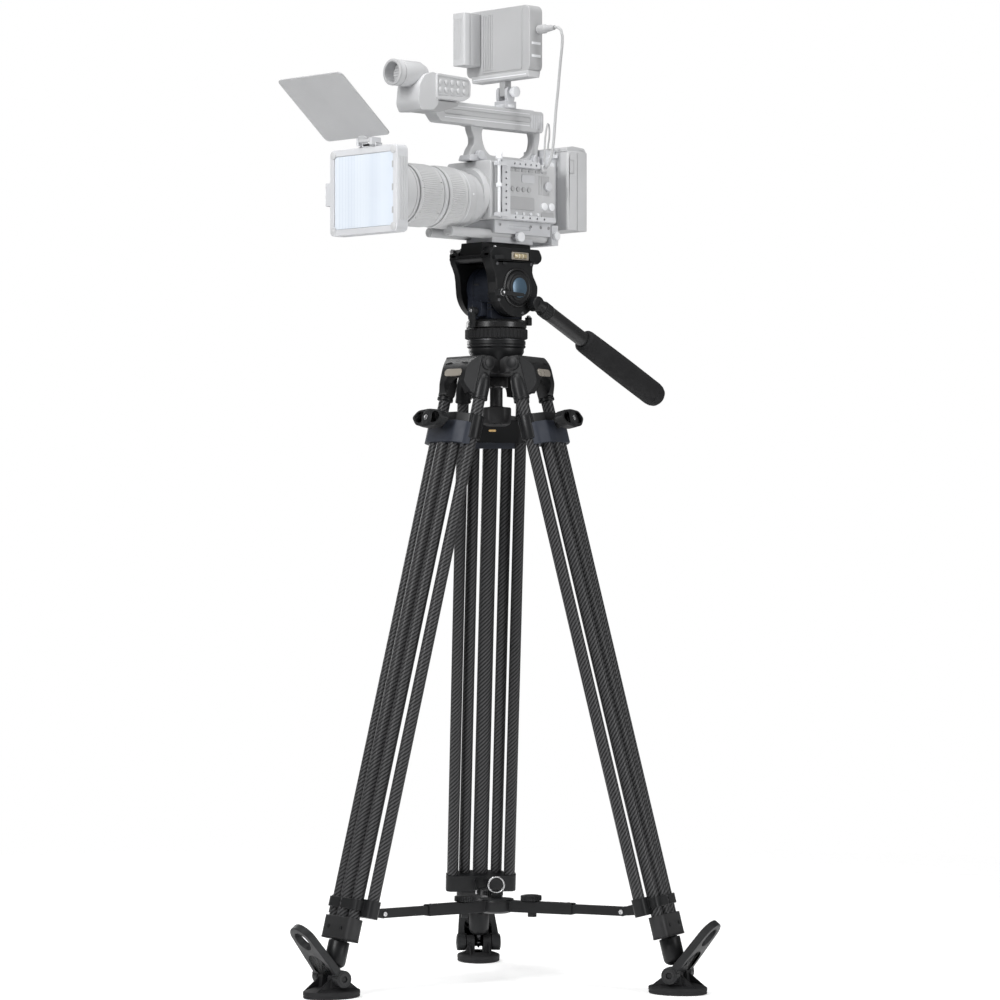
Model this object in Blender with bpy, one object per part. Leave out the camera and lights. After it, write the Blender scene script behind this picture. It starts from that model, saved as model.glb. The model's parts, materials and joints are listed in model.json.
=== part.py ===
"""Film camera on a carbon-fibre twin-tube tripod with a fluid head.

The lens looks along -Y, +X is the operator's left, +Z is up and the feet stand on z = 0.
Everything is placed from the tripod's own axis, which then sits at TRIPOD_AXIS.
"""

import math

import bmesh
import bpy
from mathutils import Matrix, Vector

TRIPOD_AXIS = Vector((-0.0255, 0.0425, 0.0))  # puts the middle of the whole box over the origin

# Legs
LEG_AZIMUTH = {"front": 261.5, "left": 20.8, "right": 141.5}
LEG_TILT = math.radians(14.4)
HINGE_RADIUS = 0.052
HINGE_HEIGHT = 0.985
TUBE_RADIUS = 0.0094
UPPER_TUBE_SIDE = 0.0474  # upper tubes, to each side of the leg's middle
MIDDLE_TUBE_SIDE = 0.0266
STAGE_OFFSET = 0.0148  # middle and lower stages lie this far outside the upper tubes
LOWER_TUBE_RADIUS = 0.0128
SLIDE_GAP = 0.0006
FIT_GAP = 0.0003
ANKLE_HEIGHT = 0.031
ANKLE = (HINGE_HEIGHT + STAGE_OFFSET * math.sin(LEG_TILT) - ANKLE_HEIGHT) / math.cos(LEG_TILT)
COLLAR_TOP = 0.0860
COLLAR_BOTTOM = 0.1350
KNOB_DROP = 0.1040
BRACKET_TOP = 0.862
BRACKET_BOTTOM = 0.890
CLAMP_TOP = 0.8945
CLAMP_BOTTOM = 0.9300
FITTING_RADIUS = 0.0166  # end fitting of the lower tube

# Feet
PAD_LENGTH = 0.095
PAD_WIDTH = 0.071
LEVER_SLOPE = math.radians(52)

# Spreader
SPREADER_HEIGHT = 0.1240
SPREADER_PIVOT_RADIUS = 0.221
SLEEVE_REACH = (0.044, 0.135)
ARM_END = 0.121
ARM_HEIGHT = 0.0140
ARM_WIDTH = 0.0130
ARM_CLEARANCE = 0.0009

# Bowl and head
BOWL_RADIUS = 0.0375
BOWL_RIM = 1.0225
PAN_RING = (1.0252, 1.0418)
PAN_BASE = (1.0428, 1.0562)
TILT_HEIGHT = 1.1055
CHEEK_RADIUS = 0.046
TRAY = (1.148, 1.168)
PLATE_TOP = 1.1765
HANDLE_SIDE = 0.0605
HANDLE_PIVOT = Vector((HANDLE_SIDE, 0.030, 1.0808))
HANDLE_SLOPE = math.radians(26.8)

# Camera rig
LENS_HEIGHT = 1.2437
RIG_PLATE_TOP = 1.212
HANDLE_BAR = (1.362, 1.394)
MIC_HEIGHT = 1.4317
MONITOR = {"x": 0.0725, "y": (0.003, 0.032), "z": (1.447, 1.553)}
MONITOR_HINGE = Vector((0.0, 0.020, 1.420))
FLAG_HINGE = Vector((0.010, -0.2895, 1.3205))
FLAG_SLOPE = math.radians(40)

# Routes of the cables, on smooth curves through these points
MONITOR_CABLE = [
    (0.1085, 0.0230, 1.5140), (0.1150, 0.0232, 1.5138), (0.1210, 0.0245, 1.5090), (0.1225, 0.0262, 1.4990),
    (0.1190, 0.0290, 1.4830), (0.1120, 0.0330, 1.4640), (0.1040, 0.0380, 1.4420), (0.0960, 0.0430, 1.4180),
    (0.0880, 0.0470, 1.3920), (0.0820, 0.0500, 1.3650), (0.0770, 0.0520, 1.3380), (0.0715, 0.0530, 1.3170),
    (0.0650, 0.0530, 1.3030), (0.0585, 0.0530, 1.2982),
]
MONITOR_CABLE_RADIUS = 0.00225
LOOP_CABLE = [
    (0.0300, 0.0780, 1.3056), (0.0300, 0.0782, 1.3180), (0.0298, 0.0790, 1.3350), (0.0294, 0.0810, 1.3520),
    (0.0285, 0.0845, 1.3660), (0.0265, 0.0890, 1.3740), (0.0240, 0.0940, 1.3730), (0.0215, 0.0980, 1.3640),
    (0.0185, 0.1005, 1.3520), (0.0155, 0.1015, 1.3430), (0.0140, 0.1020, 1.3335),
]
LOOP_CABLE_RADIUS = 0.0015


def clear_scene():
    for item in list(bpy.data.objects):
        bpy.data.objects.remove(item)


clear_scene()
base = bpy.data.objects.new("tripod_axis", None)
base.location = TRIPOD_AXIS
bpy.context.scene.collection.objects.link(base)


def make_material(name, color, roughness, metallic=0.0):
    material = bpy.data.materials.new(name)
    material.use_nodes = True
    shader = material.node_tree.nodes["Principled BSDF"]
    shader.inputs["Base Color"].default_value = (*color, 1.0)
    shader.inputs["Roughness"].default_value = roughness
    shader.inputs["Metallic"].default_value = metallic
    return material


MATERIALS = {
    "casting": make_material("casting", (0.022, 0.023, 0.025), 0.45, 0.3),
    "carbon": make_material("carbon", (0.03, 0.03, 0.032), 0.35),
    "plastic": make_material("plastic", (0.018, 0.019, 0.021), 0.5),
    "rubber": make_material("rubber", (0.015, 0.015, 0.016), 0.75),
    "steel": make_material("steel", (0.6, 0.6, 0.6), 0.25, 1.0),
    "dial": make_material("dial", (0.06, 0.10, 0.15), 0.35),
    "amber": make_material("amber", (0.45, 0.36, 0.20), 0.2),
    "rig_grey": make_material("rig_grey", (0.50, 0.51, 0.52), 0.55),
    "rig_light": make_material("rig_light", (0.62, 0.64, 0.67), 0.5),
    "filter": make_material("filter", (0.82, 0.88, 0.96), 0.1),
    "cable": make_material("cable", (0.50, 0.51, 0.52), 0.6),
}


# Shapes: each is (points, faces), closed


def loft(rings, closed_ends=True):
    """Rings of equally many points, joined into one closed skin."""
    count = len(rings[0])
    points = [tuple(p) for ring in rings for p in ring]
    faces = []
    for level in range(len(rings) - 1):
        for i in range(count):
            j = (i + 1) % count
            low, high = level * count, (level + 1) * count
            faces.append((low + i, low + j, high + j, high + i))
    if closed_ends:
        faces.append(tuple(reversed(range(count))))
        faces.append(tuple(range(len(points) - count, len(points))))
    return points, faces


def along(axis, a, b, c):
    """A point with a and b across the axis and c along it."""
    return {"x": (c, a, b), "y": (a, c, b), "z": (a, b, c)}[axis]


def prism(outline, axis, start, end):
    """An outline across the axis: (y, z) for x, (x, z) for y, (x, y) for z."""
    return loft([[along(axis, a, b, c) for a, b in outline] for c in (start, end)])


def block(x, y, z, chamfer=0.0):
    if not chamfer:
        return prism([(x[0], y[0]), (x[1], y[0]), (x[1], y[1]), (x[0], y[1])], "z", *z)
    c = chamfer

    def ring(inset):
        x0, x1, y0, y1 = x[0] + inset, x[1] - inset, y[0] + inset, y[1] - inset
        return [
            (x0 + c, y0), (x1 - c, y0), (x1, y0 + c), (x1, y1 - c),
            (x1 - c, y1), (x0 + c, y1), (x0, y1 - c), (x0, y0 + c),
        ]

    levels = ((z[0], c * 0.6), (z[0] + c, 0.0), (z[1] - c, 0.0), (z[1], c * 0.6))
    return loft([[(px, py, h) for px, py in ring(inset)] for h, inset in levels])


def turned(profile, axis="z", centre=(0, 0, 0), sides=20):
    """Radii and heights along an axis, turned round it."""
    rings = []
    for radius, height in profile:
        angles = [2 * math.pi * i / sides for i in range(sides)]
        ring = [along(axis, radius * math.cos(t), radius * math.sin(t), height) for t in angles]
        rings.append([Vector(p) + Vector(centre) for p in ring])
    return loft(rings)


def rod(radius, axis, start, end, centre=(0, 0, 0), sides=10, edge=0.0):
    if edge:
        profile = [(radius - edge, start), (radius, start + edge), (radius, end - edge), (radius - edge, end)]
    else:
        profile = [(radius, start), (radius, end)]
    return turned(profile, axis, centre, sides)


def knurled(radius, depth, teeth, start, end, axis="z", centre=(0, 0, 0)):
    """A short cylinder with pointed ridges all round."""
    rings = []
    for height in (start, end):
        ring = []
        for i in range(teeth * 2):
            reach = radius - depth * (i % 2)
            t = math.pi * i / teeth
            ring.append(Vector(along(axis, reach * math.cos(t), reach * math.sin(t), height)) + Vector(centre))
        rings.append(ring)
    return loft(rings)


def arc(centre, radius, start, end, steps, squash=1.0):
    """Points on an arc, in degrees, both ends included."""
    spread = [math.radians(start + (end - start) * i / steps) for i in range(steps + 1)]
    return [(centre[0] + radius * math.cos(t), centre[1] + radius * squash * math.sin(t)) for t in spread]


def turn_shape(shape, matrix):
    points, faces = shape
    return [tuple(matrix @ Vector(p)) for p in points], faces


def mesh_object(name, shape, frame, pivot):
    mesh = bpy.data.meshes.new(name)
    points, faces = shape
    mesh.from_pydata([tuple(Vector(p) - pivot) for p in points], [], faces)
    shell = bmesh.new()
    shell.from_mesh(mesh)
    bmesh.ops.recalc_face_normals(shell, faces=shell.faces)
    shell.to_mesh(mesh)
    shell.free()
    item = bpy.data.objects.new(name, mesh)
    bpy.context.scene.collection.objects.link(item)
    item.parent = base
    item.matrix_basis = frame @ Matrix.Translation(pivot)
    return item


def part(name, material, shapes, cuts=(), frame=Matrix(), pivot=(0, 0, 0)):
    """One piece: its shapes made one solid, less its cuts, with its origin at the pivot."""
    pivot = Vector(pivot)
    item = mesh_object(name, shapes[0], frame, pivot)
    item.data.materials.append(MATERIALS[material])
    steps = [("UNION", s) for s in shapes[1:]] + [("DIFFERENCE", s) for s in cuts]
    for number, (operation, shape) in enumerate(steps):
        tool = mesh_object(f"{name}_tool_{number}", shape, frame, pivot)
        tool.hide_render = True
        tool.display_type = "WIRE"
        boolean = item.modifiers.new(f"step_{number}", "BOOLEAN")
        boolean.operation = operation
        boolean.solver = "EXACT"
        boolean.object = tool
    return item


def finish_meshes():
    """Each piece keeps its finished mesh, shaded smooth where it is round, and the helpers go."""
    depsgraph = bpy.context.evaluated_depsgraph_get()
    pieces = [item for item in bpy.data.objects if item.type == "MESH" and not item.hide_render]
    finished = [bpy.data.meshes.new_from_object(item.evaluated_get(depsgraph)) for item in pieces]
    for item, mesh in zip(pieces, finished):
        item.modifiers.clear()
        item.data = mesh
        mesh.name = item.name
        mesh.shade_smooth()
        mesh.set_sharp_from_angle(angle=math.radians(40))
    for item in list(bpy.data.objects):
        if item.hide_render:
            bpy.data.objects.remove(item)


# Frames


def leg_frame(azimuth):
    """X outward, square to the leg, Y along its hinge, Z up the leg, from its hinge."""
    hinge = Matrix.Translation((HINGE_RADIUS, 0, HINGE_HEIGHT))
    return Matrix.Rotation(math.radians(azimuth), 4, "Z") @ hinge @ Matrix.Rotation(-LEG_TILT, 4, "Y")


def upright_frame(azimuth, radius, height):
    """X outward, Y along the hinge, Z straight up."""
    return Matrix.Rotation(math.radians(azimuth), 4, "Z") @ Matrix.Translation((radius, 0, height))


def ankle_radius():
    return HINGE_RADIUS + STAGE_OFFSET * math.cos(LEG_TILT) + ANKLE * math.sin(LEG_TILT)


def mirrored(outline):
    """An outline given for positive b, completed by its mirror image."""
    return outline + [(a, -b) for a, b in reversed(outline)]


# Tripod crown


def crown():
    seat = 0.0003
    bowl_low = BOWL_RIM - math.sqrt(BOWL_RADIUS**2 - 0.016**2)
    outside = [
        (0.026, 0.968), (0.036, 0.974), (0.0415, 1.000), (0.0440, 1.0045),
        (0.0440, 1.0105), (0.0467, 1.0125), (0.0467, BOWL_RIM),
    ]
    shapes = [turned(outside, sides=20)]
    for azimuth in LEG_AZIMUTH.values():
        lug = prism(
            [(-0.030, -0.016)] + arc((0, 0), 0.0115, -90, 90, 5) + [(-0.020, 0.0115), (-0.030, 0.006)],
            "y", -0.0355, 0.0355,
        )
        frame = upright_frame(azimuth, HINGE_RADIUS, HINGE_HEIGHT)
        shapes.append(turn_shape(lug, frame))
        pin = rod(0.0045, "y", -0.0480, 0.0480, sides=8)
        shapes.append(turn_shape(pin, frame))
    cavity = [(0.016 + seat, 0.960), (0.016 + seat, bowl_low)]
    for i in range(1, 4):
        height = bowl_low + (BOWL_RIM - bowl_low) * i / 3
        cavity.append((math.sqrt(BOWL_RADIUS**2 - (BOWL_RIM - height) ** 2) + seat, height))
    cavity.append((BOWL_RADIUS + seat, BOWL_RIM + 0.01))
    part("crown", "casting", shapes, [turned(cavity, sides=20)])


def half_ball():
    seat = 0.0001
    bowl_low = BOWL_RIM - math.sqrt(BOWL_RADIUS**2 - 0.016**2)
    ball = [(0.0052, 0.932), (0.0052, bowl_low)]
    for i in range(0, 4):
        height = bowl_low + (BOWL_RIM - bowl_low) * i / 3
        ball.append((math.sqrt(BOWL_RADIUS**2 - (BOWL_RIM - height) ** 2) - seat, height))
    ball += [
        (BOWL_RADIUS - seat, BOWL_RIM + FIT_GAP), (0.0452, BOWL_RIM + FIT_GAP),
        (0.0452, PAN_RING[0] - FIT_GAP), (0.030, PAN_RING[0] - FIT_GAP), (0.030, PAN_BASE[0] - FIT_GAP),
    ]
    part("half_ball", "casting", [turned(ball, sides=20)])


def tie_down():
    outside = [
        (0.0160, 0.8875), (0.0225, 0.8915), (0.0238, 0.8990), (0.0238, 0.9170),
        (0.0102, 0.9182), (0.0102, 0.9490), (0.0185, 0.9500), (0.0185, 0.9676),
    ]
    bore = rod(0.0058, "z", 0.926, 0.98, sides=10)
    part("tie_down_knob", "plastic", [turned(outside, sides=16)], [bore], pivot=(0, 0, 0.93))


# Legs


def shoulder(name, frame):
    arch = prism(
        [
            (-0.008, -0.0440), (0.0150, -0.0440), (0.0225, -0.0260), (0.0270, -0.0120),
            (0.0265, 0.0000), (0.0200, 0.0080), (0.0130, 0.0108), (-0.008, 0.0108),
        ],
        "y", -0.0520, 0.0520,
    )
    shapes = [arch]
    for side in (-1, 1):
        shapes.append(rod(0.0128, "z", -0.060, -0.006, (0, side * UPPER_TUBE_SIDE, 0)))
        ends = sorted((side * 0.0366, side * 0.0512))
        shapes.append(rod(0.0118, "y", ends[0], ends[1], sides=12))
    cuts = [
        rod(0.0128, "y", -0.0359, 0.0359, sides=14),
        block((-0.020, 0.0), (-0.0362, 0.0362), (-0.030, 0.020)),
        block((-0.020, 0.0132), (-0.0338, 0.0338), (-0.070, -0.0005)),
        rod(0.0245, "x", -0.001, 0.040, (0, 0, -0.0500), 14),
    ]
    for side in (-1, 1):
        corner = [
            (0.0400, side * 0.0200), (0.0400, side * 0.0700),
            (0.0100, side * 0.0700), (0.0100, side * 0.0505),
        ]
        cuts.append(prism(corner, "z", -0.0700, 0.0300))
    for side in (-1, 1):
        cuts.append(rod(TUBE_RADIUS + FIT_GAP, "z", -0.070, -0.0220, (0, side * UPPER_TUBE_SIDE, 0)))
        ends = sorted((side * 0.030, side * 0.0485))
        cuts.append(rod(0.0050, "y", ends[0], ends[1], sides=8))
    part(f"shoulder_{name}", "casting", shapes, cuts, frame)


def upper_frame(name, frame):
    """Two tubes bonded into the lower bracket, which also carries the spreader's pivot."""
    low, high = -BRACKET_BOTTOM, -BRACKET_TOP
    shapes = [
        prism(mirrored([(0.0280, 0.0300), (0.0230, 0.0400), (-0.0100, 0.0400)]), "z", -0.8810, -0.8650),
        prism(
            mirrored([(0.0110, 0.0560), (0.0080, 0.0582), (-0.0085, 0.0582), (-0.0112, 0.0560)]),
            "z", -0.8812, high,
        ),
        block((-0.0112, -0.0035), (-0.0560, 0.0560), (low, high - 0.0004)),
    ]
    for side in (-1, 1):
        ends = sorted((side * 0.0402, side * 0.0578))
        shapes.append(block((-0.0108, 0.0108), ends, (low - 0.0002, -0.868)))
        shapes.append(rod(TUBE_RADIUS, "z", -0.880, -0.0223, (0, side * UPPER_TUBE_SIDE, 0)))
        ear_ends = sorted((side * 0.0078, side * 0.0115))
        shapes.append(spreader_ear(ear_ends))
    cuts = [rod(LOWER_TUBE_RADIUS + SLIDE_GAP, "z", -0.90, -0.84, (STAGE_OFFSET, 0, 0))]
    for side in (-1, 1):
        cuts.append(rod(TUBE_RADIUS + SLIDE_GAP, "z", -0.90, -0.84, (STAGE_OFFSET, side * MIDDLE_TUBE_SIDE, 0)))
    part(f"upper_frame_{name}", "carbon", shapes, cuts, frame)


def spreader_pivot_in_leg():
    """The spreader's pivot, in the leg's frame: (x, z)."""
    across = SPREADER_PIVOT_RADIUS - HINGE_RADIUS
    up = SPREADER_HEIGHT - HINGE_HEIGHT
    sine, cosine = math.sin(LEG_TILT), math.cos(LEG_TILT)
    return across * cosine + up * sine, -across * sine + up * cosine


def spreader_ear(ends):
    x, z = spreader_pivot_in_leg()
    outline = arc((x, z), 0.0062, 90, 270, 5)
    outline += [(-0.0100, -BRACKET_BOTTOM + 0.001), (-0.0100, -BRACKET_TOP - 0.006)]
    return prism(outline, "y", *ends)


def middle_frame(name, frame):
    """The sliding collar, its two tubes and the clamp block at their lower end."""
    shapes = [
        prism(
            mirrored([(0.0285, 0.0360), (0.0170, 0.0540), (0.0030, 0.0560), (-0.0040, 0.0400)]),
            "z", -COLLAR_BOTTOM, -0.1000,
        ),
        prism(
            mirrored([(0.0260, 0.0300), (0.0140, 0.0540), (-0.0085, 0.0590), (-0.0120, 0.0560)]),
            "z", -0.1230, -COLLAR_TOP,
        ),
        prism(
            mirrored([(0.0290, 0.0300), (0.0240, 0.0370), (0.0050, 0.0378), (0.0000, 0.0340)]),
            "z", -CLAMP_BOTTOM, -CLAMP_TOP,
        ),
        rod(0.0075, "x", 0.0200, 0.0400, (0, 0, -KNOB_DROP)),
    ]
    for side in (-1, 1):
        shapes.append(rod(0.0128, "z", -0.1235, -COLLAR_TOP + 0.0005, (0, side * UPPER_TUBE_SIDE, 0)))
        shapes.append(rod(TUBE_RADIUS, "z", -0.900, -0.110, (STAGE_OFFSET, side * MIDDLE_TUBE_SIDE, 0)))
    cuts = [rod(LOWER_TUBE_RADIUS + SLIDE_GAP, "z", -0.95, -0.1160, (STAGE_OFFSET, 0, 0))]
    for side in (-1, 1):
        cuts.append(rod(TUBE_RADIUS + SLIDE_GAP, "z", -0.15, -0.05, (0, side * UPPER_TUBE_SIDE, 0)))
    part(f"middle_frame_{name}", "carbon", shapes, cuts, frame)


def lower_tube(name, frame):
    """The wide single tube, with the neck, ball and spike that the foot pad holds."""
    ankle = -ANKLE
    profile = [
        (0.0010, ankle - 0.0095), (0.0050, ankle), (0.0048, ankle + 0.0145), (0.0090, ankle + 0.0150),
        (0.0145, ankle + 0.0190), (FITTING_RADIUS, ankle + 0.0240), (FITTING_RADIUS, -CLAMP_BOTTOM - 0.0020),
        (LOWER_TUBE_RADIUS, -CLAMP_BOTTOM - 0.0018), (LOWER_TUBE_RADIUS, -0.1190),
    ]
    part(f"lower_tube_{name}", "carbon", [turned(profile, centre=(STAGE_OFFSET, 0, 0), sides=10)], (), frame,
         (STAGE_OFFSET, 0, ankle))


def lock_knob(name, frame):
    """A wing knob with a pocket in each wing, turning about the collar's outward stud."""
    height = -KNOB_DROP
    outline = [
        (-0.0430, 0.0010), (-0.0290, -0.0115), (0.0000, -0.0150), (0.0290, -0.0115), (0.0430, 0.0010),
        (0.0290, 0.0125), (0.0000, 0.0150), (-0.0290, 0.0125),
    ]
    wings = prism([(y, height + z) for y, z in outline], "x", 0.0440, 0.0580)
    hub = rod(0.0120, "x", 0.0404, 0.0600, (0, 0, height), 12)
    pockets = [
        block((0.0400, 0.0620), sorted((side * 0.0140, side * 0.0290)), (height - 0.0060, height + 0.0070))
        for side in (-1, 1)
    ]
    part(f"lock_knob_{name}", "plastic", [wings, hub], pockets, frame, (0.0440, 0, height))


# Feet


def foot_pad(name, frame):
    def oval(scale, height):
        return [
            (PAD_LENGTH / 2 * scale * math.cos(t), PAD_WIDTH / 2 * scale * math.sin(t), height)
            for t in (2 * math.pi * i / 20 for i in range(20))
        ]

    floor = -ANKLE_HEIGHT
    levels = [(0.95, 0.0), (1.0, 0.0035), (1.0, 0.0110), (0.62, 0.0165)]
    shapes = [loft([oval(scale, floor + height) for scale, height in levels])]
    cuts = []
    for side in (-1, 1):
        ends = sorted((side * 0.0072, side * 0.0206))
        outline = arc((0, 0), 0.0122, 0, 180, 5) + [(-0.0150, floor + 0.010), (0.0150, floor + 0.010)]
        shapes.append(prism(outline, "y", *ends))
        shapes.append(rod(0.0042, "y", *sorted((side * 0.0190, side * 0.0340)), sides=8))
        rib = [(-0.038, floor + 0.0130), (0.038, floor + 0.0130), (0.006, 0.006), (-0.006, 0.006)]
        shapes.append(prism(rib, "y", *sorted((side * 0.0150, side * 0.0180))))
    cuts.append(block((-0.016, 0.016), (-0.0071, 0.0071), (floor + 0.0105, 0.03)))
    part(f"foot_pad_{name}", "rubber", shapes, cuts, frame)


def foot_lever(name, frame):
    """Two arms on the pad's pin that join in a loop for a toe or a thumb."""
    tip = arc((0.0775, 0), 0.0275, -75, 75, 8)
    outline = [(-0.006, -0.0362), (0.042, -0.0312)] + tip + [(0.042, 0.0312), (-0.006, 0.0362)]
    body = prism(outline, "z", -0.0060, 0.0060)
    fork = prism([(-0.03, -0.0214), (0.027, -0.0214)] + arc((0.027, 0), 0.0214, -90, 90, 5)
                 + [(0.027, 0.0214), (-0.03, 0.0214)], "z", -0.03, 0.03)
    loop = prism(arc((0.0780, 0), 0.0165, 0, 330, 11, 0.95), "z", -0.03, 0.03)
    shapes = [body]
    for side in (-1, 1):
        shapes.append(rod(0.0135, "y", *sorted((side * 0.0215, side * 0.0365)), sides=12))
    cuts = [fork, loop, rod(0.0047, "y", -0.05, 0.05, sides=8)]
    part(f"foot_lever_{name}", "plastic", shapes, cuts, frame @ Matrix.Rotation(-LEVER_SLOPE, 4, "Y"))


# Spreader


def spreader_hub():
    low, high = SPREADER_HEIGHT - 0.0088, SPREADER_HEIGHT + 0.0088
    shapes = [
        turned([(0.022, low - 0.003), (0.029, low), (0.029, high), (0.0275, high + 0.0022)], sides=14),
        block((-0.0085, 0.0085), (-0.0035, 0.0035), (high, high + 0.0095)),
    ]
    cuts = []
    half_height = ARM_HEIGHT / 2 + ARM_CLEARANCE
    half_width = ARM_WIDTH / 2 + ARM_CLEARANCE
    for azimuth in LEG_AZIMUTH.values():
        turn = Matrix.Rotation(math.radians(azimuth), 4, "Z")
        sleeve = block((0.0, SLEEVE_REACH[1]), (-half_width - 0.001, half_width + 0.001), (low, high))
        shapes.append(turn_shape(sleeve, turn))
        wheel = rod(0.0168, "z", high - 0.001, high + 0.0105, (0.061, 0, 0))
        shapes.append(turn_shape(wheel, turn))
        hollow = block((SLEEVE_REACH[0], SLEEVE_REACH[1] + 0.01), (-half_width, half_width),
                       (SPREADER_HEIGHT - half_height, SPREADER_HEIGHT + half_height))
        cuts.append(turn_shape(hollow, turn))
    part("spreader_hub", "plastic", shapes, cuts, pivot=(0, 0, SPREADER_HEIGHT))


def spreader_arm(name, azimuth):
    frame = upright_frame(azimuth, SPREADER_PIVOT_RADIUS, SPREADER_HEIGHT)
    inner = ARM_END - SPREADER_PIVOT_RADIUS
    shapes = [
        block((inner, -0.004), (-ARM_WIDTH / 2, ARM_WIDTH / 2), (-ARM_HEIGHT / 2, ARM_HEIGHT / 2)),
        rod(ARM_HEIGHT / 2 + 0.0004, "y", -0.0074, 0.0074),
    ]
    part(f"spreader_arm_{name}", "casting", shapes, (), frame)


def pull_ring():
    """A split ring standing in a hole through the hub's post."""
    major, minor = 0.0125, 0.0013
    rings = []
    for i in range(16):
        t = 2 * math.pi * i / 16
        centre = Vector((major * math.cos(t), 0, major * math.sin(t)))
        out = centre.normalized()
        rings.append([
            centre + out * minor * math.cos(a) + Vector((0, 1, 0)) * minor * math.sin(a)
            for a in (2 * math.pi * j / 5 for j in range(5))
        ])
    points = [tuple(p) for ring in rings for p in ring]
    faces = []
    for i in range(16):
        for j in range(5):
            a, b = i * 5, (i + 1) % 16 * 5
            k = (j + 1) % 5
            faces.append((a + j, a + k, b + k, b + j))
    height = SPREADER_HEIGHT + 0.0088 + 0.0095 + major + minor + FIT_GAP
    frame = Matrix.Translation((0, 0, height)) @ Matrix.Rotation(math.radians(46), 4, "Z")
    part("pull_ring", "steel", [(points, faces)], (), frame, (0, 0, -major))


# Fluid head


def pan_parts():
    ring = knurled(0.0500, 0.0016, 20, *PAN_RING)
    part("pan_drag_ring", "rubber", [ring], [rod(0.0304, "z", 1.0, 1.06, sides=20)], pivot=(0, 0, PAN_RING[0]))
    rim = [(0.0482, PAN_BASE[0]), (0.0482, PAN_BASE[0] + 0.0095), (0.0440, PAN_BASE[1] - 0.0004)]
    part("pan_base", "casting", [turned(rim, sides=24)], (), pivot=(0, 0, PAN_BASE[0]))


def drum_housing():
    low = PAN_BASE[1]
    pedestal = prism(
        [(-0.0340, low), (0.0340, low), (0.0350, low + 0.020), (0.0330, TILT_HEIGHT), (-0.0330, TILT_HEIGHT),
         (-0.0350, low + 0.020)],
        "x", -0.0300, 0.0240,
    )
    shapes = [
        rod(0.0362, "x", -0.0332, 0.0266, (0, 0, TILT_HEIGHT), 24),
        pedestal,
        rod(0.0118, "x", -0.0415, 0.0400, (0, 0, TILT_HEIGHT), 12),
        block((-0.0060, 0.0160), (-0.0480, -0.0200), (1.0640, 1.0850)),
    ]
    part("drum_housing", "casting", shapes, (), pivot=(0, 0, low))


def cheek_outline():
    """Side of a cradle cheek, as (y, z): round below the tilt axis, up to the tray above it."""
    lower = arc((0, TILT_HEIGHT), CHEEK_RADIUS, 190, 365, 11)
    return [(-0.0500, TRAY[0] + 0.004), (-0.0500, TILT_HEIGHT - 0.003)] + lower + [
        (0.0400, 1.1220), (0.0325, 1.1370), (0.0385, TRAY[0] + 0.004),
    ]


def tilt_cradle():
    tray_side = [
        (-0.0500, 1.1440), (-0.0580, 1.1500), (-0.0590, 1.1600), (-0.0500, TRAY[1]), (0.0490, TRAY[1]),
        (0.0555, 1.1570), (0.0540, 1.1500), (0.0450, 1.1440), (0.0380, TRAY[0]), (-0.0400, TRAY[0]),
    ]
    shapes = [
        prism(tray_side, "x", -0.0470, 0.0478),
        prism(cheek_outline(), "x", 0.0276, 0.0474),
        prism(cheek_outline(), "x", -0.0462, -0.0341),
        rod(0.0300, "x", 0.0470, 0.0500, (0, 0, TILT_HEIGHT), 20),
        rod(0.0040, "x", 0.0470, 0.0499, (0, HANDLE_PIVOT.y, HANDLE_PIVOT.z), 8),
        rod(0.0040, "x", -0.0480, -0.0460, (0, 0, TILT_HEIGHT), 8),
    ]
    cuts = [
        rod(0.0123, "x", -0.0419, 0.0404, (0, 0, TILT_HEIGHT), 12),
        block((-0.0262, 0.0262), (-0.0700, 0.0700), (TRAY[0] + 0.0085, 1.1800)),
        rod(0.0270, "x", 0.0480, 0.0600, (0, 0, TILT_HEIGHT), 20),
    ]
    cuts.append(block((0.0412, 0.0500), (0.0150, 0.0350), (1.1500, 1.1596)))
    part("tilt_cradle", "casting", shapes, cuts, pivot=(0, 0, TILT_HEIGHT))


def head_controls():
    centre = (0, 0, TILT_HEIGHT)
    dial = turned([(0.0262, 0.0483), (0.0245, 0.0532), (0.0176, 0.0545)], "x", centre, 20)
    part("tilt_drag_dial", "dial", [dial], (), pivot=centre)
    knob = knurled(0.0230, 0.0014, 12, -0.0555, -0.0482, "x", centre)
    part("counterbalance_knob", "plastic", [knob], (), pivot=centre)

    hub = (0, -0.0430, 1.0960)
    arm = prism([(-0.0430, 1.0928), (0.0020, 1.0915), (0.0045, 1.0940), (0.0020, 1.0965), (-0.0430, 1.0985)],
                "x", 0.0562, 0.0612)
    part("tilt_lock_lever", "plastic", [rod(0.0065, "x", 0.0477, 0.0625, hub), arm], (), pivot=hub)

    hub = (0.0040, 0, 1.0690)
    arm = prism([(0.0010, 1.0410), (0.0070, 1.0410), (0.0082, 1.0700), (-0.0002, 1.0700)], "y", -0.0590, -0.0530)
    part("pan_lock_lever", "plastic", [rod(0.0062, "y", -0.0595, -0.0484, hub), arm], (),
         pivot=(0.0040, -0.0500, 1.0690))

    low = TRAY[0] + 0.0088
    outline = [
        (-0.0257, low), (0.0257, low), (0.0257, 1.1655), (0.0240, PLATE_TOP), (-0.0240, PLATE_TOP),
        (-0.0257, 1.1655),
    ]
    plate = prism(outline, "y", -0.0540, 0.0520)
    part("slide_plate", "casting", [plate], (), pivot=(0, 0, low))

    vial = rod(0.0040, "y", 0.0160, 0.0340, (0.0460, 0, 1.1548))
    part("level_vial", "amber", [vial], (), pivot=(0.0460, 0.025, 1.1548))


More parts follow.
